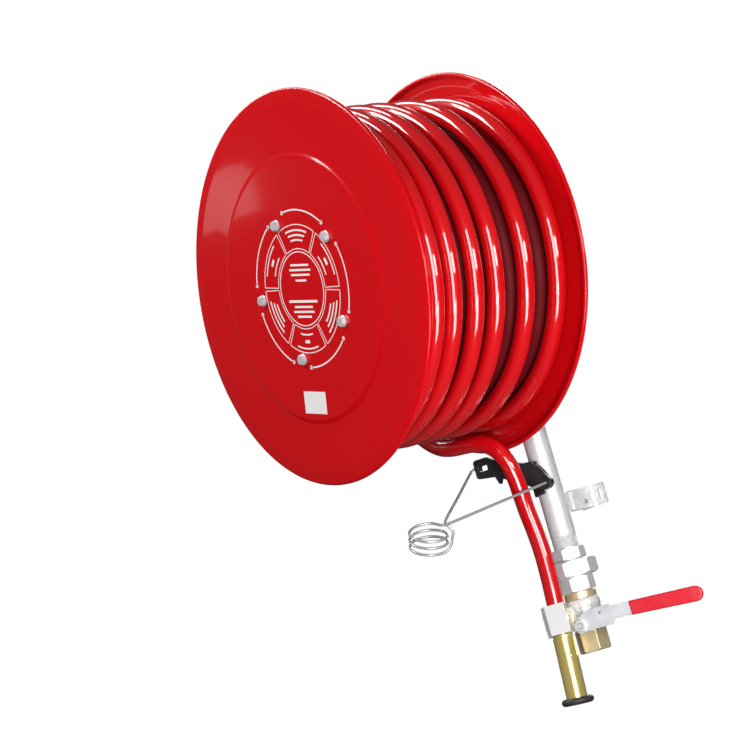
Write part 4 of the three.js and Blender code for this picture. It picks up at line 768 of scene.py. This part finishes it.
def print_arc(bm, radius, width, start, end):
    """A curved bar: one short edge swept round the middle."""
    a = math.radians(start)
    inner, outer = radius - width / 2, radius + width / 2
    low = bm.verts.new((inner * math.cos(a), inner * math.sin(a), 0))
    high = bm.verts.new((outer * math.cos(a), outer * math.sin(a), 0))
    edge = bm.edges.new((low, high))
    steps = max(3, math.ceil(abs(end - start) / 3))
    bmesh.ops.spin(
        bm, geom=[low, high, edge], cent=(0, 0, 0), axis=(0, 0, 1), angle=math.radians(end - start),
        steps=steps, use_merge=abs(end - start) == 360, use_duplicate=False,
    )


def print_bar(bm, x, y, length, width, turn=0.0):
    made = bmesh.ops.create_grid(bm, x_segments=1, y_segments=1, size=0.5)
    place = Matrix.Rotation(math.radians(turn), 4, "Z") @ shifted(x, y, 0)
    bmesh.ops.transform(bm, matrix=place @ Matrix.Diagonal((length, width, 1, 1)), verts=made["verts"])


def print_dot(bm, radius, angle, size):
    a = math.radians(angle)
    made = bmesh.ops.create_circle(bm, cap_ends=True, segments=16, radius=size)
    bmesh.ops.translate(bm, verts=made["verts"], vec=(radius * math.cos(a), radius * math.sin(a), 0))


bm = bmesh.new()
INNER_RING, OUTER_RING, ARC_RING = 53.0, 92.0, 113.0
FIELD_FOOT = INNER_RING + 4.5
FIELD_GAP = 3.2  # degrees
ARC_SPAN = (62, 12)  # degrees before each bolt
print_arc(bm, INNER_RING, 1.5, 0, 360)
for field in range(6):
    start = 60 * field + PRINT_TILT + FIELD_GAP / 2
    end = start + 60 - FIELD_GAP
    print_arc(bm, OUTER_RING, 1.3, start, end)
    print_arc(bm, FIELD_FOOT, 1.1, start + 1, end - 1)
    for side in (start, end):
        print_bar(bm, (OUTER_RING + FIELD_FOOT) / 2, 0, OUTER_RING - FIELD_FOOT, 1.1, side)
    middle = (start + end) / 2
    if field % 2:
        for row, width in enumerate((18, 15, 12)):
            print_arc(bm, 84 - 7 * row, 2.6, middle - width, middle + width)
    else:
        print_arc(bm, 86, 2.2, middle - 17, middle + 17)
        print_arc(bm, 66, 2.2, middle - 13, middle + 13)
        print_arc(bm, 76, 4.5, middle - 4, middle + 4)
inner_rows = [
    (34, 44, 3.0), (27, 52, 3.0), (20, 46, 3.0), (12, 26, 3.0),
    (-18, 70, 3.6), (-26, 44, 3.0), (-33, 50, 3.0), (-40, 34, 3.0),
]
for height, length, width in inner_rows:
    print_bar(bm, 0, height, length, width, PRINT_TILT)
for angle in bolt_angles:
    start, end = (angle - before for before in ARC_SPAN)
    print_arc(bm, ARC_RING, 2.2, start, end)
    print_dot(bm, ARC_RING, start, 3.0)
    print_dot(bm, ARC_RING, end, 3.0)
bmesh.ops.recalc_face_normals(bm, faces=bm.faces[:])
flat_faces = bm.faces[:]
for face in flat_faces:
    if face.normal.z < 0:
        face.normal_flip()
bmesh.ops.solidify(bm, geom=flat_faces, thickness=-PRINT_FILM)
label_ring = piece_from(bm, "printed_ring", white_print, shifted(0, PRINT_FACE, 0) @ turned_about("X", 90))
label_ring.modifiers.clear()
stands_for(label_ring, "drum")

bm = bmesh.new()
print_bar(bm, 0, 0, 53, 32)
bmesh.ops.solidify(bm, geom=bm.faces[:], thickness=-STICKER_FILM)
sticker_place = shifted(-43, PRINT_FACE, -158) @ turned_about("X", 90) @ turned_about("Z", PRINT_TILT)
sticker = piece_from(bm, "blank_sticker", white_print, sticker_place)
stands_for(sticker, "drum")
print("print faces:", len(label_ring.data.polygons))

# %% [markdown]
# ## Riser
# The riser is galvanised pipe, threaded at its lower end where it screws into the union. The thread is cut
# as real grooves, because a threaded band is rougher and darker than the pipe above it.

# %% Riser pipe and its plug
THREAD_PITCH = 2.31
THREAD_TOP, THREAD_END = -428.0, -446.0
RISER_OUTSIDE, RISER_INSIDE = 19.05, 16.05
grooves = math.ceil((THREAD_TOP - THREAD_END) / THREAD_PITCH)
riser_outline = [(RISER_INSIDE, 75), (RISER_OUTSIDE, 75), (RISER_OUTSIDE, THREAD_TOP)]
z = THREAD_TOP
for _ in range(grooves):
    riser_outline += [(18.4, z - THREAD_PITCH * 0.5), (19.0, z - THREAD_PITCH)]
    z -= THREAD_PITCH
riser_outline += [(18.9, -461.7), (RISER_INSIDE, -461.7)]
riser = turned("riser_tube", riser_outline, ON_RISER, galvanised, 0.0, 72)
stands_for(riser, "frame", "riser_pipe")
plug = turned(
    "riser_plug",
    [(0, 60.3), (15.7, 60.3), (15.7, 75.3), (20.5, 75.3), (20.5, 79.0), (19.3, 80.3), (0, 80.3)],
    ON_RISER, black_nylon, 0.5,
)
stands_for(plug, "frame", "riser_cap")
print("thread grooves:", grooves)

# %% [markdown]
# ## Union
# Two hexagon-necked tails are pulled together by a large nut with a gasket between them. The parts are
# galvanised castings, so their edges are softer than those of the turned brass below.

# %% Union tails and nut
UNION_CORNER = 37.8
bm = bmesh.new()
add_hexagon(bm, 25.8, -466, -447, bore=19.35)
turn_profile(bm, [
    (21.5, -465.5), (21.5, -470.8), (29.5, -470.8), (29.5, -476.8), (13.0, -476.8), (13.0, -465.5),
])
upper_union = piece_from(bm, "union_upper", galvanised, ON_RISER, 0.6)
stands_for(upper_union, "frame", "union_tail_upper")

bm = bmesh.new()
add_hexagon(bm, UNION_CORNER, -490.8, -466.3, bore=21.9, around=96)
union_nut = piece_from(bm, "union_ring_nut", galvanised, ON_RISER, 0.8)
stands_for(union_nut, "frame", "union_nut")

bm = bmesh.new()
add_hexagon(bm, 26.9, -513.6, -491.1, bore=17.1)
turn_profile(bm, [(13.0, -491.5), (29.5, -491.5), (29.5, -479.4), (13.0, -479.4)])
lower_union = piece_from(bm, "union_lower", galvanised, ON_RISER, 0.6)
stands_for(lower_union, "frame", "union_tail_lower")
print("union nut across corners:", 2 * UNION_CORNER)

# %% [markdown]
# ## Valve
# The ball valve's body is plated brass: a short barrel with a boss for the stem. A plain brass nipple joins
# it to the union, and a cast hexagon with an internal thread takes the supply pipe from below.

# %% Nipple, body and inlet
INLET_END = -603.5
nipple = turned(
    "valve_nipple_collar",
    [(11.0, -535.6), (16.8, -535.6), (16.8, -524.4), (23.2, -524.4), (24.0, -523.6), (24.0, -514.7),
     (23.2, -513.9), (16.8, -513.9), (16.8, -502.7), (11.0, -502.7)],
    ON_RISER, dull_brass, 0.0,
)
stands_for(nipple, "frame", "valve_nipple")

bm = bmesh.new()
turn_profile(bm, [
    (17.1, -524.7), (24.0, -524.7), (26.0, -529.7), (26.0, -536.0), (25.2, -537.0), (25.2, -555.0),
    (26.0, -556.0), (26.0, -565.7), (24.0, -567.7), (18.0, -567.7), (18.0, -579.5), (15.6, -579.5),
    (15.6, -545.5), (9.5, -545.5), (9.5, -536.2), (17.1, -536.2),
])
boss = bmesh.new()
turn_profile(boss, [
    (5.3, 20.0), (10.0, 20.0), (10.0, 27.2), (8.5, 27.2), (8.5, 36.0), (7.2, 36.0), (7.2, 30.0), (5.3, 30.0),
], 48)
boss.transform(ON_VALVE.inverted() @ ON_STEM)
boss_mesh = bpy.data.meshes.new("boss")
boss.to_mesh(boss_mesh)
boss.free()
bm.from_mesh(boss_mesh)
bpy.data.meshes.remove(boss_mesh)
valve_body = piece_from(bm, "valve_barrel", plated, ON_VALVE, 0.5)
stands_for(valve_body, "frame", "valve_body")

bm = bmesh.new()
add_hexagon(bm, 24.4, INLET_END, -568.0, bore=13.2)
inlet = piece_from(bm, "valve_inlet_hexagon", dull_brass, ON_VALVE, 0.5)
stands_for(inlet, "frame", "valve_inlet")
print("valve runs from", BODY_TOP, "down to", INLET_END)

# %% Stem and its nuts
STEM_END = 61.5
bm = bmesh.new()
add_hexagon(bm, 11.55, 29.8, 40.5, bore=5.6, around=48)
packing_nut = piece_from(bm, "packing_hexagon_nut", zinc_plate, ON_STEM, 0.3)
stands_for(packing_nut, "frame", "packing_nut")

bm = bmesh.new()
add_hexagon(bm, 9.24, 53.3, 59.9, bore=4.4, around=48)
lever_nut = piece_from(bm, "lever_hexagon_nut", zinc_plate, ON_STEM, 0.3)
stands_for(lever_nut, "valve_lever", "lever_nut")

stem = turned(
    "valve_spindle_stem",
    [(0, 14.0), (5.0, 14.0), (5.0, 49.7), (4.0, 49.7), (4.0, 60.7), (3.2, STEM_END), (0, STEM_END)],
    ON_STEM, zinc_plate, 0.0, 32,
)
stands_for(stem, "valve_lever", "valve_stem")
print("stem reaches", STEM_END, "mm from the riser's axis")

# %% [markdown]
# ## Lever
# The lever is a 3 mm steel stamping. Its wide root sits on the stem, and a narrow strip runs out of it into
# a dipped red vinyl sleeve with a round tip. Both outlines are drawn flat and given softened edges.

# %% Lever plate and sleeve
DROOP = math.tan(math.radians(-3.3))
LEVER_REACH = 186
TIP_RADIUS = 11.5


def strip_middle(x):
    return 7 + (x - 51) * DROOP


root = arc(0, 0, 11, 110, 270, 14)
plate_outline = [
    *root, (14, -10), (47, -10), (51, strip_middle(51) - 10), (75.5, strip_middle(75.5) - 10),
    (77.5, strip_middle(77.5) - 8.9), (175.8, strip_middle(175.8) - 8.9),
    (175.8, strip_middle(175.8) + 8.9), (77.5, strip_middle(77.5) + 8.9),
    (75.5, strip_middle(75.5) + 10), (51, strip_middle(51) + 10), (47, 20), (14, 20),
]
LEVER_FACE = ON_VALVE @ shifted(0, -51.5, STEM_Z) @ turned_about("X", 90)
bm = bmesh.new()
add_plate(bm, [plate_outline, arc(0, 0, 4.3, 0, 345, 23), arc(32, 11, 2.2, 0, 330, 11)], 3.0, 0.35, Matrix())
lever_plate = piece_from(bm, "lever_stamping", zinc_plate, LEVER_FACE)
stands_for(lever_plate, "valve_lever", "lever")

tip_x = LEVER_REACH - TIP_RADIUS
sleeve_outline = [
    (77.5, strip_middle(77.5) + 10.5), (77.5, strip_middle(77.5) - 10.5),
    *arc(tip_x, strip_middle(tip_x), TIP_RADIUS, -90, 90, 16),
]
bm = bmesh.new()
add_plate(bm, [sleeve_outline], 8.0, 2.2, Matrix())
sleeve = piece_from(bm, "lever_vinyl_sleeve", red_vinyl, LEVER_FACE)
stands_for(sleeve, "valve_lever", "lever_sleeve")
print("lever reaches", round(LEVER_REACH * math.cos(math.radians(VALVE_TURN))), "mm sideways")

# %% [markdown]
# ## Nozzle holder
# A plated strap wraps round the left and the front of the nozzle. It is bent from 1.5 mm strip, so it is
# modelled as a sheet standing on its own line, with rounded bends and then its thickness.

# %% Strap
STRAP_LEFT, STRAP_FRONT, STRAP_FOOT = -46.6, 62.3, 30.5
STRAP_TOP, STRAP_HEIGHT = BODY_TOP + 2.5, 44
strap_line = [
    (STRAP_LEFT - 10, -STRAP_FOOT), (STRAP_LEFT, -STRAP_FOOT), (STRAP_LEFT, -STRAP_FRONT),
    (-14, -STRAP_FRONT),
]
bm = bmesh.new()
add_bent_sheet(bm, strap_line, STRAP_TOP - STRAP_HEIGHT, STRAP_TOP, 1.5, 4.75)
strap = piece_from(bm, "nozzle_strap", plated, ON_VALVE, 0.3)
stands_for(strap, "frame", "nozzle_holder_strap")
print("strap faces:", len(strap.data.polygons))

# %% [markdown]
# ## Nozzle
# The nozzle is a brass twist nozzle: its barrel turns on a fixed coupling to open and close the jet. A thick
# rubber ring protects its tip when it is dropped.

# %% Ferrule, coupling, barrel and tip
ferrule = turned(
    "hose_end_ferrule", [(13.35, -7), (14.6, -7), (14.6, 6), (13.35, 6)], ON_NOZZLE, dull_brass, 0.3,
)
stands_for(ferrule, "frame", "hose_ferrule")
coupling = turned(
    "nozzle_fixed_coupling",
    [(7, 6.3), (13.8, 6.3), (13.8, 35.9), (11.1, 35.9), (11.1, 69.9), (7, 69.9)], ON_NOZZLE, brass, 0.5,
)
stands_for(coupling, "frame", "nozzle_coupling")
barrel = turned(
    "nozzle_twist_barrel",
    [(11.5, 36.2), (13.8, 36.2), (14.6, 37.0), (14.6, 40.2), (15.5, 41.7), (15.5, 66.0), (15.0, 66.8),
     (15.0, 68.2), (15.5, 69.0), (15.5, 138.0), (7.5, 138.0), (6.0, 135.0), (6.0, 120.0), (8.0, 114.0),
     (8.0, 74.2), (11.5, 71.2)],
    ON_NOZZLE, brass, 0.0, 96,
)
stands_for(barrel, "nozzle", "nozzle_barrel")
tip_outline = [(15.9, 140.0)]
tip_outline += [(18.75 + 5.25 * math.cos(a), 134.75 + 5.25 * math.sin(a))
                for a in (math.radians(90 - 15 * k) for k in range(13))]
tip_outline.append((15.9, 129.5))
tip_ring = turned("nozzle_rubber_ring", tip_outline, ON_NOZZLE, black_rubber, 0.0, 72)
stands_for(tip_ring, "nozzle", "nozzle_tip")
print("nozzle tip is", [round(v, 3) for v in TO_METRES @ ON_NOZZLE @ Vector((0, 0, 140))])

# %% [markdown]
# ## Hose guide
# The guide's arm is moulded in black nylon, thick and rounded, with a window at its left end and a boss at
# its right. A clip behind it snaps round the riser, so that the guide can swing with the hose.

# %% Arm and clip
CLIP_OUTSIDE, CLIP_INSIDE = 24.05, 19.55
CLIP_ENDS = (62, 274)
arm_outline = [
    *arc(-88.4, -289.5, 5, 180, 90, 5), (-72, -284.5), (-62, -290.5), (-16, -310), (-4, -311), (8, -322),
    *arc(10.5, -347, 10.2, 48, -110, 14), (-4, -353), (-22, -341), (-50, -324.5), (-57, -321.5),
    (-60.5, -329), (-64.5, -317), *arc(-88.4, -308.5, 5, -90, -180, 5),
]
window = [
    *arc(-74, -301.5, 2, -90, 0, 3), *arc(-74, -297, 2, 0, 90, 3),
    *arc(-84, -297, 2, 90, 180, 3), *arc(-84, -301.5, 2, 180, 270, 3),
]
bm = bmesh.new()
flat_arm = shifted(0, -28.9, 0) @ turned_about("X", 90)
add_plate(bm, [arm_outline, window], 14.2, 1.4, flat_arm)
clip_outline = arc(0, 0, CLIP_OUTSIDE, *CLIP_ENDS, 32) + arc(0, 0, CLIP_INSIDE, *CLIP_ENDS[::-1], 32)
add_plate(bm, [clip_outline], 50, 0.9, shifted(0, 0, -337))
guide_arm = piece_from(bm, "hose_guide_arm", black_nylon, ON_GUIDE)
stands_for(guide_arm, "hose_guide", "guide_arm")
print("arm faces:", len(guide_arm.data.polygons))

# %% [markdown]
# ## Wire guide
# One length of bright 4 mm wire makes the guide: the right leg runs forwards, dips under the crossing and
# winds into an open coil, then climbs over the crossing and returns as the left leg. The coil lets the
# hose run out in any direction without a kink.

# %% Wire route
WIRE_RADIUS = 2.0
wire_right = Vector((12, -36, -348))
wire_corner = Vector((-98.5, -32.5, -297))
wire_left = Vector((-93.4, -32.5, -297))
wire_meet = Vector((-73.5, -216, -373))
along_arm = (wire_right - wire_corner).normalized()
wire_up = along_arm.cross(wire_meet - wire_right).normalized()
if wire_up.z < 0:
    wire_up.negate()
wire_back = wire_up.cross(along_arm)
leg_in = (wire_right - wire_meet).normalized()


def on_wire_plane(across, back, height):
    return wire_right + along_arm * across + wire_back * back + wire_up * height


def plane_place(point):
    offset = point - wire_right
    return offset.dot(along_arm), offset.dot(wire_back)


COIL_RADIUS, COIL_HEIGHT = 27.0, 27.0
COIL_FIRST, COIL_LAST = 112.0, 1070.0
COIL_ACROSS, COIL_BACK = -74, -219


def on_coil(angle, radius, height):
    a = math.radians(angle)
    return on_wire_plane(COIL_ACROSS + radius * math.cos(a), COIL_BACK + radius * math.sin(a), height)


meet_across, meet_back = plane_place(wire_meet)
corner_across, corner_back = plane_place(wire_corner)
crossing, low = WIRE_RADIUS + 0.3, -(WIRE_RADIUS + 0.3) - 1
wire = [wire_right + leg_in * 6, wire_right - leg_in * 4]
wire += [on_wire_plane(meet_across * p, meet_back * p, low * p) for p in (0.5, 0.93)]
wire.append(on_wire_plane(meet_across - 4, meet_back - 2, low))
curls = round((COIL_LAST - COIL_FIRST) / 45)
for k in range(curls + 1):
    angle = COIL_FIRST + (COIL_LAST - COIL_FIRST) * k / curls
    wire.append(on_coil(angle, COIL_RADIUS, low - COIL_HEIGHT * k / curls))
wire.append(on_coil(10, COIL_RADIUS + 5, low - 0.78 * COIL_HEIGHT))
wire.append(on_coil(27, COIL_RADIUS + 6.5, low - 0.45 * COIL_HEIGHT))
wire.append(on_coil(40, COIL_RADIUS + 8, low - 0.15 * COIL_HEIGHT))
wire.append(on_wire_plane(meet_across + 5.9, meet_back - 6.1, 1))
for part, height in ((0.04, crossing + 0.3), (0.5, crossing / 2), (0.965, 0.5)):
    across = meet_across + (corner_across - meet_across) * part
    back = meet_back + (corner_back - meet_back) * part
    wire.append(on_wire_plane(across, back, height))
wire += [wire_corner.lerp(wire_left, 0.35), wire_left + Vector((6, 0, 0))]
wire_line = [ON_GUIDE @ p for p in smooth_line(wire, 2.5)]
wire_guide = object_from(
    tube_mesh("guide_wire_coil", wire_line, WIRE_RADIUS, 4), "guide_wire_coil", steel_wire,
)
wire_guide.modifiers.clear()
stands_for(wire_guide, "hose_guide", "wire_guide")
print("wire is", round(run_of(wire_line), 2), "m long")

# %% [markdown]
# ## Studio
# The reel hangs over a plain pale floor. Glossy red paint shows its lights as shapes, so each lamp has a
# job: a soft key from the upper left for the colour of the disc, a tall window on the right for the streaks
# down the turns, a long one overhead for the streaks over their tops, one behind for the wall side, and
# small ones for the disc's patch of light, the tail and the bright metal. Floor and air are pale to the
# camera and dim in reflections, so that the red keeps its depth. The plain Standard view keeps saturated
# red as it is.

# %% Pale floor and air
AIR_IN_REFLECTIONS = 0.09
FLOOR_Z, FLOOR_RADIUS = -0.95, 14
bpy.context.scene.view_settings.view_transform = "Standard"


def pale_to_camera(tree, plain, seen):
    """A strength that is one value for the camera and another for reflections and bounces."""
    ray = tree.nodes.new("ShaderNodeLightPath")
    strength = tree.nodes.new("ShaderNodeMapRange")
    tree.links.new(ray.outputs["Is Camera Ray"], strength.inputs["Value"])
    strength.inputs["To Min"].default_value = plain
    strength.inputs["To Max"].default_value = seen
    return strength.outputs["Result"]


world = bpy.data.worlds.new("studio_air")
bpy.context.scene.world = world
world.use_nodes = True
air = world.node_tree.nodes["Background"]
air.inputs["Color"].default_value = (1, 1, 1, 1)
world.node_tree.links.new(
    pale_to_camera(world.node_tree, AIR_IN_REFLECTIONS, 1.0), air.inputs["Strength"],
)

floor_material = bpy.data.materials.new("pale_floor")
floor_material.use_nodes = True
floor_shader = floor_material.node_tree.nodes["Principled BSDF"]
floor_shader.inputs["Base Color"].default_value = (0.06, 0.06, 0.06, 1)
floor_shader.inputs["Roughness"].default_value = 0.9
floor_shader.inputs["Emission Color"].default_value = (1, 1, 1, 1)
floor_material.node_tree.links.new(
    pale_to_camera(floor_material.node_tree, 0.0, 1.0), floor_shader.inputs["Emission Strength"],
)

bm = bmesh.new()
bmesh.ops.create_circle(bm, cap_ends=True, segments=96, radius=FLOOR_RADIUS)
bmesh.ops.translate(bm, verts=bm.verts[:], vec=(0, -0.2, FLOOR_Z))
floor_mesh = bpy.data.meshes.new("pale_floor")
bm.to_mesh(floor_mesh)
bm.free()
floor_mesh.materials.append(floor_material)
floor = bpy.data.objects.new("pale_floor", floor_mesh)
bpy.context.scene.collection.objects.link(floor)
print("floor at", FLOOR_Z)

# %% Lights
reel_middle = in_metres((60, 140, -60))


def soft_box(name, middle, facing, width, height, radiance):
    """A rectangular lamp at a place in metres that faces another; its upright side stays upright."""
    light = bpy.data.lights.new(name, "AREA")
    light.shape = "RECTANGLE"
    light.size = width
    light.size_y = height
    light.energy = radiance * math.pi * width * height
    lamp = bpy.data.objects.new(name, light)
    bpy.context.scene.collection.objects.link(lamp)
    middle, facing = Vector(middle), Vector(facing)
    turn = (middle - facing).to_track_quat("Z", "Y").to_matrix().to_4x4()
    turn.translation = middle
    lamp.matrix_world = turn
    lamp.visible_camera = False
    return lamp


def beyond(direction, distance):
    return reel_middle + Vector(direction).normalized() * distance


def mirrored_on_disc(spot, distance):
    """Where a lamp stands whose image the camera sees at this spot of the front disc."""
    spot = Vector(spot)
    eye = CAMERA_TARGET + CAMERA_DISTANCE * camera_back
    eye.y = 2 * spot.y - eye.y
    return in_metres(spot + (spot - eye).normalized() * distance)


soft_box("key_box", beyond((-0.34, -0.63, 0.70), 3.0), reel_middle, 1.0, 1.3, 17)
soft_box("window_box", in_metres((1700, -820, -480)), in_metres((100, 140, -100)), 0.8, 1.5, 7.5)
soft_box("overhead_strip", beyond((-0.5, -0.08, 0.86), 2.2), reel_middle, 0.5, 2.0, 8)
soft_box("low_box", in_metres((800, -100, -700)), in_metres((0, RISER_BACK, -500)), 0.4, 0.4, 8)
soft_box("rear_box", beyond((-0.45, 0.85, 0.35), 3.0), reel_middle, 1.4, 1.4, 9)
soft_box("tail_strip", in_metres((1500, 165, -270)), in_metres((0, 270, -420)), 0.6, 0.3, 10)
window_spot = (-175, -7, 205)
soft_box("disc_window", mirrored_on_disc(window_spot, 1500), in_metres(window_spot), 0.2, 0.13, 1.5)
